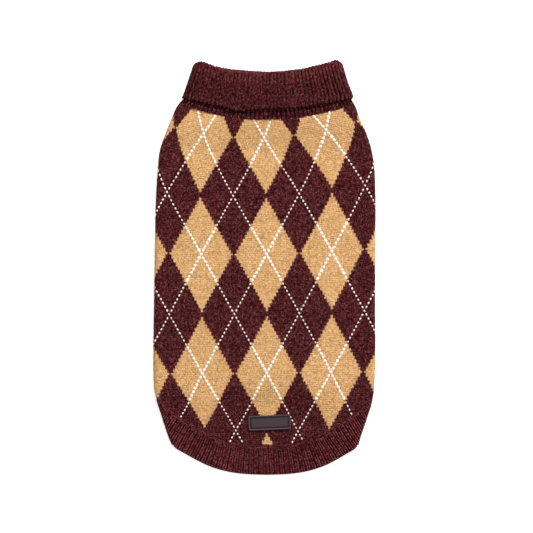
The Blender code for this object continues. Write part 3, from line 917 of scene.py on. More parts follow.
def label_rubber(settings, name, tone):
    """Matte moulded rubber with a fine grain, so much paler or darker than its setting; a paler copy paints a
    highlight and a darker one paints shade.
    """
    material, nodes, links, shader = blank_material(name)
    place = nodes.new("ShaderNodeTexCoord")
    grain = add_node(nodes, "ShaderNodeTexNoise", {"Scale": 2600, "Detail": 2})
    links.new(place.outputs["Object"], grain.inputs["Vector"])
    low, high = ((*[v * tone * share for v in settings.rubber], 1) for share in (0.8, 1.2))
    tint = add_node(nodes, "ShaderNodeMix", data_type="RGBA")
    set_inputs(tint, {"A": low, "B": high})
    links.new(grain.outputs["Fac"], tint.inputs["Factor"])
    links.new(tint.outputs["Result"], shader.inputs["Base Color"])
    add_bump(nodes, links, shader, grain.outputs["Fac"], 0.25, 0.0001)
    set_inputs(shader, {"Roughness": 0.55, "Specular IOR Level": 0.2})
    return material


# ---- settings ------------------------------------------------------------------------------------
def colour_setting(name, use, default):
    return FloatVectorProperty(name=name, description=use, subtype="COLOR", size=3, min=0, max=1,
                               default=default)


def length_setting(name, use, default, **limits):
    return FloatProperty(name=name, description=use, unit="LENGTH", default=default, **limits)


class SweaterYarnSettings(bpy.types.PropertyGroup):
    maroon: colour_setting("Maroon", "Colour of the maroon yarn", (0.0735, 0.0078, 0.0096))
    maroon_pale: colour_setting(
        "Maroon Pale Fibres", "Colour of the pale fibres in the maroon yarn", (0.155, 0.052, 0.055))
    maroon_dark: colour_setting(
        "Maroon Dark Fibres", "Colour of the dark fibres in the maroon yarn", (0.027, 0.0008, 0.0011))
    tan: colour_setting("Tan", "Colour of the tan yarn", (0.632, 0.386, 0.168))
    tan_pale: colour_setting(
        "Tan Pale Fibres", "Colour of the pale fibres in the tan yarn", (0.81, 0.56, 0.305))
    tan_dark: colour_setting(
        "Tan Dark Fibres", "Colour of the dark fibres in the tan yarn", (0.42, 0.21, 0.075))
    white: colour_setting("White", "Colour of the thin lines' yarn", (0.776, 0.645, 0.545))
    rubber: colour_setting("Rubber", "Colour of the label patch", (0.0384, 0.0237, 0.0301))
    stitch_rise: length_setting(
        "Stitch Rise", "How far a stitch stands out of the cloth", 0.00065, min=0, max=0.002)
    line_rise: length_setting(
        "Line Rise", "How far the thin lines' stitches stand out", 0.0013, min=0, max=0.002)
    nap_rise: length_setting(
        "Nap Rise", "How far the loose fibres of the brushed nap stand out", 0.0008, min=0, max=0.003)
    rib_depth: length_setting(
        "Rib Depth", "How deep the grooves between the ribs are", 0.0015, min=0, max=0.002)


class SweaterStageSettings(bpy.types.PropertyGroup):
    floor_size: length_setting("Floor Size", "Side of the floor", 6.0, min=1)
    floor_colour: colour_setting("Floor Colour", "Colour of the floor", (0.96, 0.96, 0.96))
    camera_height: length_setting("Camera Height", "Height of the camera above the sweater", 3.0, min=1)
    view_width: length_setting("View Width", "Width of the surface that the camera sees", 0.51168, min=0.1)
    key_power: FloatProperty(
        name="Key Light", description="Power of the large light above the neck", unit="POWER", default=211.0)
    room_light: FloatProperty(
        name="Room Light", description="Strength of the even light all round", default=0.58)
    floor_glow: FloatProperty(
        name="Floor Glow", description="Light of the white table from below", default=0.55, min=0)


# ---- the pieces ----------------------------------------------------------------------------------
SNAP = 0.35 * COURSE          # distance from a seam within which a row moves on to it
SEAM_MARGIN = 0.2 * COURSE    # least distance of a stitch's middle from a seam
SIDE_MARGIN = 0.8             # the same from a panel's side, in stitches


def panel_grid(place, wales, courses):
    """A panel's rows and columns of stitches cut off at its hem and neck seams: turn, y, faces, the
    stitch in the middle of each face, and each point's place in stitches."""
    wale, course = np.meshgrid(wales, courses)
    turn, y = place(wale, course)
    low, high = hem_station(turn), neck_station(turn)
    rows = np.arange(len(courses))[:, None]
    first = np.where(y < low + SNAP, rows, 0).max(axis=0)
    last = np.where(y > high - SNAP, rows, len(courses)).min(axis=0)
    y = np.where(rows <= first, low, np.where(rows >= last, high, y))
    kept = np.clip(rows, first, last) * len(wales) + np.arange(len(wales))
    corners = np.stack([kept[:-1, :-1], kept[:-1, 1:], kept[1:, 1:], kept[1:, :-1]], axis=-1).reshape(-1, 4)
    a, b, c, d = corners.T
    left, right = a == d, b == c
    triangle = np.column_stack([a, b, np.where(left, c, d), np.full(len(a), -1)])
    faces = np.where((left | right)[:, None], triangle, corners)
    centre = np.stack([0.5 * (wale[:-1, :-1] + wale[:-1, 1:]), 0.5 * (course[:-1, :-1] + course[1:, :-1])],
                      axis=-1).reshape(-1, 2)
    shown = ~(left & right)
    return turn.ravel(), y.ravel(), faces[shown], centre[shown], np.stack([wale.ravel(), course.ravel()], 1)


def used_only(points, others, faces):
    """Leaves out the points that no face uses."""
    used, index = np.unique(faces[faces >= 0], return_inverse=True)
    new = np.full(faces.shape, -1)
    new[faces >= 0] = index
    return points[used], [other[used] for other in others], new


def panel_shell(turn, y, faces, flat, look, seed):
    """A knitted panel's two skins."""
    outer = cloth(turn, y, ground(turn))
    inner = cloth(turn, y, -WALL)
    outer, (inner, flat), faces = used_only(outer, [inner, flat], faces)
    points, faces, look = close_wall(outer, inner, faces, look)
    # painted shade: the ground between the stitches is darker, standing in for their shadow
    shade = np.random.default_rng(seed).normal(*SHELL_PAINTED_SHADE, len(points))
    return Cloth(points, faces, shade, both_skins(flat), look)


def whole_steps(low, high):
    """Half-way lines between whole stitches, with the two ends."""
    inner = np.arange(math.ceil(low + SIDE_MARGIN), math.floor(high - SIDE_MARGIN) + 1) - 0.5
    return np.concatenate([[low], inner, [high]])


def knit_places(place, wales, courses):
    """The whole stitches of a panel that lie inside its seams."""
    wale, course = (grid.ravel() for grid in np.meshgrid(wales, courses))
    turn, y = place(wale, course)
    inside = (y > hem_station(turn) + SEAM_MARGIN) & (y < neck_station(turn) - SEAM_MARGIN)
    return np.stack([wale[inside], course[inside]], axis=1)


BACK_WALES = np.arange(-66, 67)
BACK_COURSES = np.arange(-110, 84)
BELLY_WALES = np.arange(-42, 43)
BELLY_COURSES = np.arange(-70, 84)
NEIGHBOURS = ((1, 0), (-1, 0), (0, 1), (0, -1))
EDGE_FIBRES = 3.0             # more loose fibres on each stitch next to the other colour
LINE_STITCH = (
    # half length and half width of a thin line's stitches, on maroon and on tan
    (0.70, 0.42),
    (1.16, 0.76),
)
LINE_LEAN = 0.22              # how far they lean, as a share of their length
BELLY_NAP = (0.8, 0.7)        # fibres on each stitch of the belly, and their share of the rise
HOLE_MARGIN = 1.04            # share of a leg hole's half size outside which stitches start


class SWEATER_OT_back(bpy.types.Operator):
    """Knit the argyle back panel, with its stitches and thin lines"""
    bl_idname = "sweater.back"
    bl_label = "Back Panel"

    def execute(self, context):
        yarn = context.scene.sweater_yarn
        maroon, tan, white = maroon_wool(yarn), tan_wool(yarn), white_wool(yarn)
        turn, y, faces, centre, flat = panel_grid(
            back_place, whole_steps(-SEAM_WALE, SEAM_WALE), BACK_COURSES - 0.5)
        look = tan_here(np.round(centre[:, 0]), np.round(centre[:, 1])).astype(int)
        shell = make_piece("back_cloth", panel_shell(turn, y, faces, flat, look, 1), (maroon, tan),
                           ["back_panel"])
        places = knit_places(back_place, BACK_WALES, BACK_COURSES)
        is_tan = tan_here(*places.T)
        at_edge = np.any([tan_here(*(places + step).T) != is_tan for step in NEIGHBOURS], axis=0)
        on_line = [line_here(*places.T, lean) for lean in (-1, 1)]
        for name, chosen, material, fibres, seed in (("back_maroon", ~is_tan, maroon, 1.3, 2),
                                                     ("back_tan", is_tan, tan, 2.0, 3)):
            plain = places[chosen & ~(on_line[0] | on_line[1])]
            edge = places[chosen & at_edge]
            made = stitches(back_surface, plain, yarn.stitch_rise, seed)
            make_piece(name + "_stitches", made, (material,))
            made = join_cloths([nap(back_surface, places[chosen], fibres, yarn.nap_rise, seed + 40),
                                nap(back_surface, edge, EDGE_FIBRES, yarn.nap_rise, seed + 50)])
            make_piece(name + "_nap", made, (material,))
        shown = (on_line[0], on_line[1] & (is_tan | ~on_line[0]))
        made = [self.line_stitches(places[on], is_tan[on], lean, yarn, seed)
                for on, lean, seed in zip(shown, (-1, 1), (4, 5))]
        make_piece("overcheck_stitches", join_cloths(made), (white,))
        return {"FINISHED"}

    def line_stitches(self, places, is_tan, lean, yarn, seed):
        """One long stitch for each dot of a thin line: on tan they meet, and on maroon they stand apart."""
        half_length, half_width = np.array(LINE_STITCH)[is_tan.astype(int)].T
        reach = half_length[:, None] * (LINE_LEAN * lean, 1.0)
        return place_forms(GRAIN, back_surface, places, -reach, reach, half_width, yarn.line_rise, seed)


def join_cloths(parts):
    """Several cloths as one, for one material."""
    starts = np.cumsum([0] + [len(part.points) for part in parts[:-1]])
    faces = [np.where(part.faces >= 0, part.faces + start, -1) for part, start in zip(parts, starts)]
    joined = [np.concatenate(column) for column in zip(*parts)]
    return Cloth(joined[0], np.concatenate(faces), *joined[2:])


class SWEATER_OT_belly(bpy.types.Operator):
    """Knit the plain belly panel with its two leg holes"""
    bl_idname = "sweater.belly"
    bl_label = "Belly Panel"

    def execute(self, context):
        yarn = context.scene.sweater_yarn
        maroon = maroon_wool(yarn)
        half = (3 - SIDE_SEAM) * TURN_WALES
        turn, y, faces, _, flat = panel_grid(belly_place, whole_steps(-half, half), BELLY_COURSES - 0.5)
        outer = cloth(turn, y, BASE_HEIGHT[1])
        centre = np.array([outer[face[face >= 0], :2].mean(axis=0) for face in faces])
        kept = hole_share(*centre.T) > 1
        edge = np.intersect1d(faces[kept][faces[kept] >= 0], faces[~kept][faces[~kept] >= 0])
        turn, y = snapped_to_holes(turn, y, outer, edge)
        faces = faces[kept]
        shell = make_piece("belly_cloth", panel_shell(turn, y, faces, flat, np.zeros(len(faces), int), 6),
                           (maroon,), ["belly_panel"])
        places = knit_places(belly_place, BELLY_WALES, BELLY_COURSES)
        at = belly_surface(*places.T)
        places = places[hole_share(at[:, 0], at[:, 1]) > HOLE_MARGIN]
        made = join_cloths([stitches(belly_surface, places, yarn.stitch_rise, 7),
                            nap(belly_surface, places, BELLY_NAP[0], yarn.nap_rise * BELLY_NAP[1], 8)])
        knitted = make_piece("belly_stitches", made, (maroon,))
        return {"FINISHED"}


def hole_share(x, y):
    """Distance from the nearer leg hole's centre, as a share of its half size."""
    x = np.abs(x - ring_at(y).centre) - LEG_CENTRE[0]
    return np.hypot(x / LEG_HOLE[0], (y - LEG_CENTRE[1]) / LEG_HOLE[1])


def snapped_to_holes(turn, y, points, edge):
    """Moves the points round a leg hole on to its outline."""
    x, at = points[edge, 0] - ring_at(points[edge, 1]).centre, points[edge, 1]
    side = np.sign(x)
    dx, dy = np.abs(x) - LEG_CENTRE[0], at - LEG_CENTRE[1]
    share = np.hypot(dx / LEG_HOLE[0], dy / LEG_HOLE[1])
    new_x, new_y = LEG_CENTRE[0] + dx / share, LEG_CENTRE[1] + dy / share
    turn, y = turn.copy(), y.copy()
    y[edge] = new_y
    turn[edge] = side * (3 - new_x / ring_at(new_y).flat)
    return turn, y


RIB_COLUMNS = 4               # columns of faces in a rib
RIB_SHADE = (-0.3, 0.4)       # shade of a rib's crest, and how it varies
GROOVES = 512                 # drawn strengths, more than any band has grooves
GROOVE_SPREAD = 0.16          # how much they vary
GROOVE_RANGE = (0.15, 1.25)   # the weakest and the strongest


def rib_relief(count):
    """Depth below a rib's crest, 0 to 1, at a count of ribs whose crests are at halves."""
    return 0.5 + 0.5 * np.cos(2 * np.pi * count)


def rib_painted_shade(relief, darkness, seed):
    """Painted shade of a rib's ground: dark in the grooves, where shade falls."""
    relief = np.asarray(relief, float).ravel()
    return np.random.default_rng(seed).normal(*RIB_SHADE, len(relief)) - darkness * relief


def groove_strength(count, alternate, seed):
    """How strong each groove is: alternate ones are weaker by a share, and all vary a little."""
    index = np.round(count).astype(int)
    strength = np.random.default_rng(seed).normal(1.0, GROOVE_SPREAD, GROOVES)[index % GROOVES]
    return np.clip(strength * np.where(index % 2, 1.0, 1.0 - alternate), *GROOVE_RANGE)


def rib_shell(name, material, node, grid, skins, shade, closed=False):
    """A ribbed band's outer and inner skin over a grid of ribs and shares of its width."""
    faces = grid_faces(*grid[0].shape, closed=closed)[:, ::-1]
    outer, inner = (skin.reshape(-1, 3) for skin in skins)
    points, faces, look = close_wall(outer, inner, faces, np.zeros(len(faces), int))
    flat = both_skins(np.stack([axis.ravel() for axis in grid], axis=1))
    made = Cloth(points, faces, np.tile(shade, 2), flat, look)
    return make_piece(name, made, (material,), [node])


def rib_stitch_places(crests, rows):
    """Stitches on the ribs' crests."""
    return np.stack([grid.ravel() for grid in np.meshgrid(crests, rows)], axis=1)


def brushed_places(crests, rows, brushed, seed):
    """Stitches on the crests, and also in the grooves by the share that is brushed over there."""
    between = rib_stitch_places(crests[:-1] + 0.5, rows)
    kept = np.random.default_rng(seed).uniform(size=len(between)) < brushed(*between.T)
    return np.concatenate([rib_stitch_places(crests, rows), between[kept]])


HEM_ROWS = 16
HEM_ROUND = 2 * HEM_DISTANCES[-1]     # length of the whole hem band
HEM_SETTLE = 0.16             # share of the hem's width over which its ribs rise from the seam
HEM_END = 1.012               # share at which its rounded free edge ends
HEM_ROUNDING = (0.97, 0.042, 0.0010)  # share at which the rounding starts, its run and its depth
HEM_GROOVES = (0.62, 0.98, 0.78)      # share of their depth in the middle, at the left and at the right
HEM_WEAKER = 0.32             # how much weaker every second groove is
HEM_PAINTED_SHADE = 3.1            # painted shade in the grooves
HEM_FAN = (14, 18)            # ribs from the middle to where they fan out, and the run of that
HEM_FILLED = (1.1, 0.26, 0.22)        # filled share at the seam, where it ends and the run before that
WEAK_FILLED = 0.1             # filled share of the weak grooves
HEM_NAP = (1.0, 0.8)          # fibres on each stitch of the hem, and their share of the rise
END_MARGIN = 0.3              # least distance of a stitch from a band's end, in ribs
GROOVE_PAINTED_SHADE = -1.4            # painted shade: what the stitches in a groove add to the ribs' painted highlight
SEAM_TONE = (0.15, 0.3)       # share of the painted highlight and shade left at the seam, and the run from there
FAN_PAINTED_LIGHT = (0.6, 2.6)        # painted light: how much paler stitches are at the left side and at the right side, whose ribs lie across the key light


def hem_filled(count, share):
    """Share of the hem's grooves that stitches fill: all near its seam, and the weak ones in part."""
    most, end, run = HEM_FILLED
    return np.maximum(most * ease((end - share) / run), np.where(count % 2, 0.0, WEAK_FILLED))


def fanned(count):
    """0 for the hem's straight middle ribs to 1 for those that fan out at its two sides."""
    return ease((np.abs(count) - HEM_FAN[0]) / HEM_FAN[1])


def hem_turn(count, share):
    """Turn and station in the hem's ribs. Past the belly's centre line the count goes on."""
    distance = count * HEM_PITCH
    distance = np.where(distance > HEM_DISTANCES[-1], distance - HEM_ROUND, distance)
    run, y = hem_place(distance, share)
    return np.where(distance < 0, -1, 1) * turn_of(run, y), y


def hem_surface(count, share, height):
    turn, y = hem_turn(count, share)
    return cloth(turn, y, ground(turn, RIB_RISE + BASE_HEIGHT[0]) + height)


def hem_stitch_surface(count, share, height):
    unsettled = 1 - ease(share / HEM_SETTLE)
    return hem_surface(count, share, height - STITCH_SINK - RIB_RISE * unsettled)


def hem_piece(name, first, last, node, yarn, seed):
    """A stretch of the hem rib between two counts of ribs from the back's centre line."""
    maroon = maroon_wool(yarn)
    counts = np.linspace(first, last, round((last - first) * RIB_COLUMNS) + 1)
    shares = np.concatenate([np.linspace(0, 1, HEM_ROWS + 1), [HEM_END]])
    count, share = np.meshgrid(counts, shares)
    settled = ease(share / HEM_SETTLE)
    middle, left, right = HEM_GROOVES
    deep = mix(middle, np.where(count < 0, left, right), fanned(count))
    relief = rib_relief(count) * settled * groove_strength(count, HEM_WEAKER, seed) * deep
    start, run, depth = HEM_ROUNDING
    lowered = yarn.rib_depth * relief + RIB_RISE * (1 - settled) + depth * ease((share - start) / run)
    skins = hem_surface(count, share, -lowered), cloth(*hem_turn(count, np.minimum(share, 1.0)), -WALL)
    shell = rib_shell(name, maroon, node, (count, share), skins, rib_painted_shade(relief, HEM_PAINTED_SHADE, seed))
    crests = np.arange(math.ceil(first - 0.5) + 0.5, last, 1.0)
    places = brushed_places(crests, (np.arange(HEM_ROWS) + 0.5) / HEM_ROWS, hem_filled, seed + 50)
    places = places[(places[:, 0] > first + END_MARGIN) & (places[:, 0] < last - END_MARGIN)]
    on_crest = np.abs(places[:, 0] % 1 - 0.5) < 0.1
    # painted highlight on the crests and painted shade in the grooves, fading towards the seam
    tone = (RIB_PAINTED_HIGHLIGHT + GROOVE_PAINTED_SHADE * ~on_crest) * mix(SEAM_TONE[0], 1.0, ease(places[:, 1] / SEAM_TONE[1]))
    # painted light: the fanned-out side ribs are paler, the right ones most
    tone = tone + fanned(places[:, 0]) * np.where(places[:, 0] < 0, *FAN_PAINTED_LIGHT)
    places[:, 0] += on_crest * RIB_PAIR * np.where(np.floor(places[:, 0]) % 2, 1, -1)
    size = (HEM_WALES, -1.0 / HEM_ROWS)
    fibres, rise = HEM_NAP
    made = join_cloths([stitches(hem_stitch_surface, places, yarn.stitch_rise, seed + 1, size, tone),
                        nap(hem_stitch_surface, places, fibres, yarn.nap_rise * rise, seed + 40, size)])
    return shell, make_piece(name + "_stitches", made, (maroon,))


def side_seam_count():
    """The ribs between the back's centre line and the side seam."""
    run, y = hem_place(HEM_DISTANCES, 0.0)
    return np.interp(SIDE_SEAM, turn_of(run, y), HEM_DISTANCES) / HEM_PITCH


class SWEATER_OT_hem(bpy.types.Operator):
    """Knit the ribbed hem of the back and the belly"""
    bl_idname = "sweater.hem"
    bl_label = "Hem Ribs"

    def execute(self, context):
        yarn = context.scene.sweater_yarn
        seam = side_seam_count()
        around = HEM_ROUND / HEM_PITCH
        shell, knitted = hem_piece("hem_cloth", -seam, seam, "hem_rib", yarn, 10)
        shell, knitted = hem_piece("belly_hem_cloth", seam, around - seam, "belly_rib", yarn, 12)
        return {"FINISHED"}


COLLAR_ROWS = 21          # courses from the free edge to the fold
STAND_ROWS = 3            # courses of the stand from the neck seam to the free edge
COLLAR_PATH = (
    # travel of the flap's rows, from the neck seam inside, over the top and down to the free edge
    *np.linspace(3, 2, 5)[:-1],
    *np.linspace(2, 1, 10)[:-1],
    *np.linspace(1, 0, COLLAR_ROWS),
)
STAND_PATH = (2.2, 1.5, *np.linspace(1.3, 0, 8))      # shares of the stand's rows, down to the seam
STAND_RIBS = (1.4, 0.3)       # share at which the stand's ribs start, and the run of that
STAND_RISE = 0.5              # share of the ribs' height on the stand
STAND_STITCH_RISE = 0.7       # share of the stitches' height there
STAND_STITCH = (1.3, 0.8)     # how much wider and longer its stitches are than the flap's and its rows
# painted shade: the stand's stitches are darker, under the turned-down part
STAND_PAINTED_SHADE = -0.6
SEAM_NAP = (9.0, (0.8, 0.15))         # fibres on each rib at the neck seam, and their size
COLLAR_PAINTED_SHADE = 1.8         # painted shade in the grooves
HIDDEN_PAINTED_SHADE = (0.8, 0.5)    # range and least of the relief that gives the hidden rows their painted shade, inside and under the turned-down part
BRUSHED_UP = (0.95, 0.4)      # travel up to which ribs are brushed over, and the run before it
BRUSHED_ACROSS = (-0.1, 0.90, 0.5)    # turn in the middle of that, how far it reaches and the run
BRUSHED_FILLED = 0.6          # share of the brushed grooves that stitches fill
BRUSHED_DEPTH = 0.45          # how much shallower they are
FOLD_DEPTH = (0.3, 0.66, 0.25)        # how much shallower near the fold, from which travel and the run
INSIDE_RIBS = (2.3, 0.6)      # travel at which the ribs have faded inside, and the run before it
COLLAR_TONES = (-0.5, -1.2)   # tone of plain ribs and of brushed ones
FOLD_PAINTED_HIGHLIGHT = (1.7, 0.60, 0.30)         # painted highlight: how much paler near the fold, where the light from above falls, from which travel and the run
SIDE_PAINTED_LIGHT = 0.5               # painted light: how much paler to the right, towards the key light, and twice that on the right half
FOLD_TRAVEL = (2.6, 1.9)      # travel over the fold for a flap's length of cloth, and where stitches end
COLLAR_ROUNDING = (
    # share of the ribs' height, depth in the wall and how far past the free edge's line
    (0.8, 0.12, 0.0006),
    (0.3, 0.5, 0.0010),
    (0.0, 0.9, 0.0006),
)
CROTCH = (0.0012, 0.0010, 0.0004)     # how far below the fold its start, its sides and its top lie


class SWEATER_OT_collar(bpy.types.Operator):
    """Knit the rolled collar: its stand, the fold and the part turned down"""
    bl_idname = "sweater.collar"
    bl_label = "Collar"

    def execute(self, context):
        yarn = context.scene.sweater_yarn
        maroon = maroon_wool(yarn)
        shell = self.shell(yarn, maroon)
        crests = np.arange(COLLAR_LOOP) + 0.5 - math.floor(COLLAR_FIRST)
        flap = brushed_places(crests, (np.arange(COLLAR_ROWS + 2) + 0.5) / COLLAR_ROWS, self.filled, 25)
        stand = rib_stitch_places(crests, (np.arange(STAND_ROWS + 1) + 0.5) / STAND_ROWS)
        size = (RIB_WALES, 1 / COLLAR_ROWS)
        wider, longer = STAND_STITCH
        stand_size = (RIB_WALES * wider, longer / STAND_ROWS)
        fibres, fibre_size = SEAM_NAP
        made = join_cloths([
            stitches(self.flap_surface, flap, yarn.stitch_rise, 21, size, self.tone(*flap.T)),
            nap(self.flap_surface, flap, 1.0, yarn.nap_rise, 61, size),
            stitches(self.stand_surface, stand, yarn.stitch_rise, 22, stand_size, STAND_PAINTED_SHADE),
            nap(self.stand_surface, rib_stitch_places(crests, (0.0,)), fibres, yarn.nap_rise, 63, fibre_size),
        ])
        knitted = [make_piece("collar_stitches", made, (maroon,))]
        return {"FINISHED"}

    def shell(self, yarn, maroon):
        """The cloth as one closed loop of rows, from the neck seam inside to the neck seam outside."""
        ribs = np.arange(COLLAR_LOOP * RIB_COLUMNS) / RIB_COLUMNS - COLLAR_FIRST
        turn = collar_turn(ribs)
        raised = ground(turn, RIB_RISE)
        shallower, fold_start, fold_run = FOLD_DEPTH
        inside_end, inside_run = INSIDE_RIBS
        rows, painted_shade_reliefs = [], []
        for travel in COLLAR_PATH:
            relief = rib_relief(ribs) * groove_strength(ribs, 0.0, 24)
            relief = relief * (1 - BRUSHED_DEPTH * self.brushed(turn, travel))
            relief = relief * (1 - shallower * ease((travel - fold_start) / fold_run))
            height = (raised - yarn.rib_depth * relief) * ease((inside_end - travel) / inside_run)
            rows.append(collar_flap(turn, travel, height))
            painted_shade_reliefs.append(relief)
        height = raised - yarn.rib_depth * rib_relief(ribs)
        rows += self.edge_rows(turn, height)
        rows += self.inside_rows(turn)
        rows += self.stand_rows(turn, height)
        # the hidden rows get painted shade, darker than the open ribs
        varied, least = HIDDEN_PAINTED_SHADE
        painted_shade_reliefs += [rib_relief(ribs) * varied + least] * (len(rows) - len(painted_shade_reliefs))
        points, count = np.concatenate(rows), len(rows)
        faces = grid_faces(count + 1, len(ribs), closed=True)[:, ::-1] % (count * len(ribs))
        flat = whole_map(np.stack(np.meshgrid(ribs, np.arange(count)), axis=-1).reshape(-1, 2))
        shade = rib_painted_shade(painted_shade_reliefs, COLLAR_PAINTED_SHADE, 20)
        made = Cloth(points, faces, shade, flat, np.zeros(len(faces), int))
        return make_piece("collar_cloth", made, (maroon,), ["collar"])

    def brushed(self, turn, travel):
        """How far the ribs are brushed over: most in the middle of the front."""
        end, run = BRUSHED_UP
        middle, reach, side_run = BRUSHED_ACROSS
        return ease((end - travel) / run) * ease((reach - np.abs(turn - middle)) / side_run)

    def filled(self, rib, travel):
        """Share of the grooves that stitches fill."""
        return BRUSHED_FILLED * self.brushed(collar_turn(rib), travel)

    def tone(self, rib, travel):
        """Tone of the turned-down part's stitches, with a painted highlight near the fold and painted light
        to the right.
        """
        turn = collar_turn(rib)
        paler, start, run = FOLD_PAINTED_HIGHLIGHT
        tone = mix(*COLLAR_TONES, self.brushed(turn, travel)) + paler * ease((travel - start) / run)
        across = np.clip(turn, -1, 1)
        return tone + SIDE_PAINTED_LIGHT * across + SIDE_PAINTED_LIGHT * np.maximum(across, 0)

    def edge_rows(self, turn, height):
        """The rounded free edge, from the outside in."""
        edge = free_edge(turn)
        rows = []
        for share, inward, past in COLLAR_ROUNDING:
            radius = TURN_DOWN_FOLD + height * share - WALL * inward
            rows.append(collar_layer(turn, radius, edge - past, COLLAR_CORNER))
        return rows

    def inside_rows(self, turn):
        """Up the inside of the turned-down part to the crotch."""
        edge, top = free_edge(turn), collar_top_at(turn) - WALL
        inside = TURN_DOWN_FOLD - WALL
        start, side, end = CROTCH
        rows = [collar_layer(turn, inside, mix(edge, top - start, share), COLLAR_CORNER)
                for share in (0.0, 0.3, 0.7)]
        rows.append(collar_layer(turn, inside, top - side))
        rows.append(collar_layer(turn, (NECK_FOLD + inside) / 2, top - end))
        rows.append(collar_layer(turn, NECK_FOLD, top - side))
        return rows

    def stand_rows(self, turn, height):
        """Down the stand's outer side to the neck seam."""
        start, run = STAND_RIBS
        return [collar_stand(turn, share, height * STAND_RISE * ease((start - share) / run))
                for share in STAND_PATH]

    def flap_surface(self, rib, travel, height):
        turn = collar_turn(rib)
        faster, end = FOLD_TRAVEL
        travel = np.where(travel > 1, 1 + (travel - 1) * faster, travel)
        return collar_flap(turn, np.minimum(travel, end), ground(turn, RIB_RISE) + height - STITCH_SINK)

    def stand_surface(self, rib, share, height):
        turn = collar_turn(rib)
        raised = ground(turn, RIB_RISE * STAND_RISE)
        return collar_stand(turn, share, raised + height * STAND_STITCH_RISE - STITCH_SINK)


LEG_RIBS = 64
LEG_ROWS = 5
LEG_GROOVES = 0.7             # share of the rib depth there
LEG_RAISED = 0.0002           # how far their crests stand out of the belly
LEG_PAINTED_SHADE = 2.0            # painted shade in the grooves


class SWEATER_OT_leg_ribs(bpy.types.Operator):
    """Knit the ribbed bands round the leg holes"""
    bl_idname = "sweater.leg_ribs"
    bl_label = "Leg Ribs"

    def execute(self, context):
        yarn = context.scene.sweater_yarn
        maroon = maroon_wool(yarn)
        for name, side, seed in (("left", -1, 30), ("right", 1, 32)):
            ribs = np.arange(LEG_RIBS * RIB_COLUMNS) / RIB_COLUMNS
            rib, share = np.meshgrid(ribs, np.linspace(0, 1, LEG_ROWS + 1))
            angle = 2 * np.pi * rib / LEG_RIBS
            outer = leg_surface(
                side, angle, share, -yarn.rib_depth * LEG_GROOVES * rib_relief(rib) + LEG_RAISED)
            inner = leg_surface(side, angle, share)
            inner[..., 2] = ring_at(inner[..., 1]).lift + WALL
            shell = rib_shell(f"leg_cloth_{name}", maroon, f"leg_rib_{name}", (rib, share), (outer, inner),
                              rib_painted_shade(rib_relief(rib), LEG_PAINTED_SHADE, seed), closed=True)
            places = rib_stitch_places(np.arange(LEG_RIBS) + 0.5, (np.arange(LEG_ROWS) + 0.5) / LEG_ROWS)

            def surface(a, b, height):
                return leg_surface(side, 2 * np.pi * a / LEG_RIBS, b, height + (LEG_RAISED - STITCH_SINK))

            made = stitches(surface, places, yarn.stitch_rise, seed + 1, (RIB_WALES, -1 / LEG_ROWS))
            knitted = make_piece(f"leg_stitches_{name}", made, (maroon,))
        return {"FINISHED"}


LABEL_STEPS = (
    # inset, height and look from there inwards: from the underside over the raised rim, with its painted
    # highlight, and the sewn channel, with its painted shade, to the face
    (0.0004, 0.0000, 0),
    (0.0000, 0.0004, 0),
    (0.0000, 0.0012, 1),
    (0.0003, 0.0018, 1),
    (0.0010, 0.0018, 1),
    (0.0014, 0.0012, 2),
    (0.0027, 0.0012, 2),
    (0.0030, 0.0015, 0),
    (0.0038, 0.0015, 0),
)
# the rubber, a paler copy that paints a highlight on the raised rim and a darker one that paints shade in the
# sewn channel
LABEL_TONES = (("label_rubber", 1.0), ("label_rubber_painted_highlight", 1.7), ("label_rubber_painted_shade", 0.5))
LABEL_LEAST_CORNER = 0.0003
LABEL_CORNER_POINTS = 7
LABEL_SHARP = math.radians(40)        # edges sharper than this stay crisp
LABEL_QUARTERS = ((1, 1), (-1, 1), (-1, -1), (1, -1))
LABEL_STITCH_INSET = 0.0021
LABEL_STITCH = (0.0021, 0.0008)       # length and width of one stitch of its sewing
LABEL_STITCH_RISE = 0.0002
LABEL_STITCH_PITCH = 1.5              # in lengths
LABEL_THREAD_TONE = 0.06
# One stitch of its sewing.
SEWN = Form(
    (
        # along, across, height
        (-1.0, 0.0, -0.3),
        (-0.5, -1.0, 0.2),
        (-0.5, 1.0, 0.2),
        (0.5, -1.0, 0.2),
        (0.5, 1.0, 0.2),
        (1.0, 0.0, -0.3),
        (-0.5, 0.0, 1.0),
        (0.5, 0.0, 1.0),
    ),
    ((6, 1, 0, -1), (2, 6, 0, -1), (6, 7, 3, 1), (2, 4, 7, 6), (7, 5, 3, -1), (4, 5, 7, -1)),
)


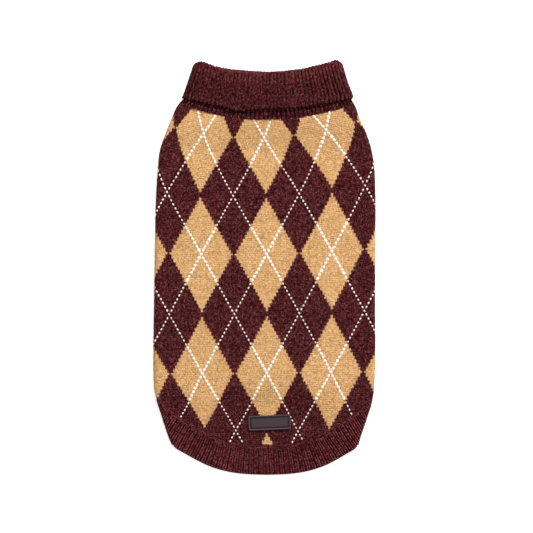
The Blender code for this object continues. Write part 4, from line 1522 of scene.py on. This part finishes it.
class SWEATER_OT_label(bpy.types.Operator):
    """Mould the bare rubber patch and sew it on"""
    bl_idname = "sweater.label"
    bl_label = "Label Patch"

    def execute(self, context):
        yarn = context.scene.sweater_yarn
        rubbers = [label_rubber(yarn, name, tone) for name, tone in LABEL_TONES]
        rings = [self.outline(inset, height) for inset, height, _ in LABEL_STEPS]
        count = len(rings[0])
        points = np.concatenate([*rings, [rings[-1].mean(axis=0), rings[0].mean(axis=0)]])
        bottom = np.arange(count)
        after = np.roll(bottom, -1)
        top = (len(rings) - 1) * count
        hub, no_corner = np.full(count, len(rings) * count), np.full(count, -1)
        faces = np.concatenate([grid_faces(len(rings), count, closed=True),
                                np.column_stack([bottom + top, after + top, hub, no_corner]),
                                np.column_stack([after, bottom, hub + 1, no_corner])])
        look = np.repeat([*(look for _, _, look in LABEL_STEPS[:-1]), 0, 0], count)
        made = Cloth(points, faces, np.zeros(len(points)), whole_map(points[:, :2]), look)
        patch = make_piece("label_moulding", made, rubbers, ["label_patch"])
        patch.data.set_sharp_from_angle(angle=LABEL_SHARP)
        self.sewing(yarn)
        return {"FINISHED"}

    def outline(self, inset, height):
        half_x, half_y = LABEL_SIZE[0] / 2 - inset, LABEL_SIZE[1] / 2 - inset
        corner = max(LABEL_CORNER - inset, LABEL_LEAST_CORNER)
        steps = np.linspace(0, np.pi / 2, LABEL_CORNER_POINTS)
        points = []
        for quarter, (sign_x, sign_y) in enumerate(LABEL_QUARTERS):
            angle = steps + quarter * np.pi / 2
            points.append(self.place(sign_x * (half_x - corner) + corner * np.cos(angle),
                                     sign_y * (half_y - corner) + corner * np.sin(angle), height))
        return np.concatenate(points)

    def place(self, x, y, height):
        across = LABEL_CENTRE[0] + x * math.cos(LABEL_TILT) - y * math.sin(LABEL_TILT)
        along = LABEL_CENTRE[1] + x * math.sin(LABEL_TILT) + y * math.cos(LABEL_TILT)
        return np.stack(np.broadcast_arrays(across, along, LABEL_BOX[0].z + height), axis=-1)

    def sewing(self, yarn):
        """A line of small stitches inside the rim."""
        corners = (np.array(LABEL_SIZE) / 2 - LABEL_STITCH_INSET) * ((-1, 1), (1, 1), (1, -1), (-1, -1))
        rows = []
        for start, end in zip(corners, np.roll(corners, -1, axis=0)):
            side = np.hypot(*(end - start))
            count = round(side / (LABEL_STITCH[0] * LABEL_STITCH_PITCH))
            rows += [(*mix(start, end, (i + 0.5) / count), *((end - start) / side)) for i in range(count)]
        x, y, dx, dy = np.array(rows).T[:, :, None]
        along, across, height = np.array(SEWN.corners).T
        px = x + dx * along * LABEL_STITCH[0] / 2 - dy * across * LABEL_STITCH[1] / 2
        py = y + dy * along * LABEL_STITCH[0] / 2 + dx * across * LABEL_STITCH[1] / 2
        points = self.place(px, py, LABEL_THICK + LABEL_STITCH_RISE * (height - 1)).reshape(-1, 3)
        faces = np.array(SEWN.faces)
        first = np.arange(len(rows))[:, None, None] * len(SEWN.corners)
        faces = np.where(faces >= 0, faces + first, -1).reshape(-1, 4)
        thread = label_rubber(yarn, "label_thread", LABEL_THREAD_TONE)
        flat, look = spread_flat(points[:, :2]), np.zeros(len(faces), int)
        made = Cloth(points, faces, np.zeros(len(points)), flat, look)
        make_piece("label_sewing", made, (thread,))


FLOOR_DROP = 0.0003           # how far the floor lies under the cloth
KEY_PLACE = (1.1, 2.6, 2.3)
KEY_SIZE = 1.5
SENSOR_WIDTH = 36
CAMERA_PLACE = (0.00192, 0.00048)
SEEN_HEIGHT = 0.005           # height of the surface whose width the camera sees
FAR = 20                      # how far the camera sees


class SWEATER_OT_stage(bpy.types.Operator):
    """Set the pale floor, the soft lights and the camera straight above"""
    bl_idname = "sweater.stage"
    bl_label = "Stage"

    def execute(self, context):
        stage = context.scene.sweater_stage
        bpy.ops.mesh.primitive_plane_add(size=stage.floor_size, location=(0, 0, -FLOOR_DROP))
        floor = context.object
        floor.name = "floor"
        paper, _, _, shader = blank_material("pale_floor")
        set_inputs(shader, {"Base Color": (*stage.floor_colour, 1), "Roughness": 0.9,
                            "Specular IOR Level": 0.0, "Emission Color": (1, 1, 1, 1),
                            "Emission Strength": stage.floor_glow})
        floor.data.materials.append(paper)

        key_data = bpy.data.lights.new("key_light", "AREA")
        key_data.shape = "DISK"
        key_data.size = KEY_SIZE
        key_data.energy = stage.key_power
        key = bpy.data.objects.new("key_light", key_data)
        key.location = KEY_PLACE
        key.rotation_euler = key.location.to_track_quat("Z", "Y").to_euler()
        context.scene.collection.objects.link(key)

        world = bpy.data.worlds.new("room")
        world.use_nodes = True
        background = world.node_tree.nodes["Background"]
        set_inputs(background, {"Color": (1, 1, 1, 1), "Strength": stage.room_light})
        context.scene.world = world
        context.scene.view_settings.view_transform = "Standard"

        camera_data = bpy.data.cameras.new("camera")
        camera_data.sensor_width = SENSOR_WIDTH
        camera_data.lens = SENSOR_WIDTH * stage.camera_height / stage.view_width
        camera_data.clip_end = FAR
        camera = bpy.data.objects.new("camera", camera_data)
        camera.location = (*CAMERA_PLACE, stage.camera_height + SEEN_HEIGHT)
        context.scene.collection.objects.link(camera)
        context.scene.camera = camera
        return {"FINISHED"}


class SWEATER_PT_panel(bpy.types.Panel):
    """The sweater's settings and its pieces"""
    bl_idname = "SWEATER_PT_panel"
    bl_label = "Argyle Dog Sweater"
    bl_space_type = "VIEW_3D"
    bl_region_type = "UI"
    bl_category = "Sweater"

    def draw(self, context):
        layout = self.layout
        for settings in (context.scene.sweater_yarn, context.scene.sweater_stage):
            for name in settings.bl_rna.properties.keys():
                if name not in ("rna_type", "name"):
                    layout.prop(settings, name)
        for operator in OPERATORS:
            layout.operator(operator.bl_idname)


OPERATORS = (SWEATER_OT_belly, SWEATER_OT_back, SWEATER_OT_hem, SWEATER_OT_collar, SWEATER_OT_leg_ribs,
             SWEATER_OT_label, SWEATER_OT_stage)
CLASSES = (SweaterYarnSettings, SweaterStageSettings, *OPERATORS, SWEATER_PT_panel)


def register():
    for made in CLASSES:
        bpy.utils.register_class(made)
    bpy.types.Scene.sweater_yarn = PointerProperty(type=SweaterYarnSettings)
    bpy.types.Scene.sweater_stage = PointerProperty(type=SweaterStageSettings)


def unregister():
    del bpy.types.Scene.sweater_stage
    del bpy.types.Scene.sweater_yarn
    for made in reversed(CLASSES):
        bpy.utils.unregister_class(made)


def main():
    for leftover in list(bpy.data.objects):
        if leftover.name in ("Cube", "Light", "Camera"):
            bpy.data.objects.remove(leftover)
    register()
    bpy.ops.sweater.belly()
    bpy.ops.sweater.back()
    bpy.ops.sweater.hem()
    bpy.ops.sweater.collar()
    bpy.ops.sweater.leg_ribs()
    bpy.ops.sweater.label()
    bpy.ops.sweater.stage()


if __name__ == "__main__":
    main()
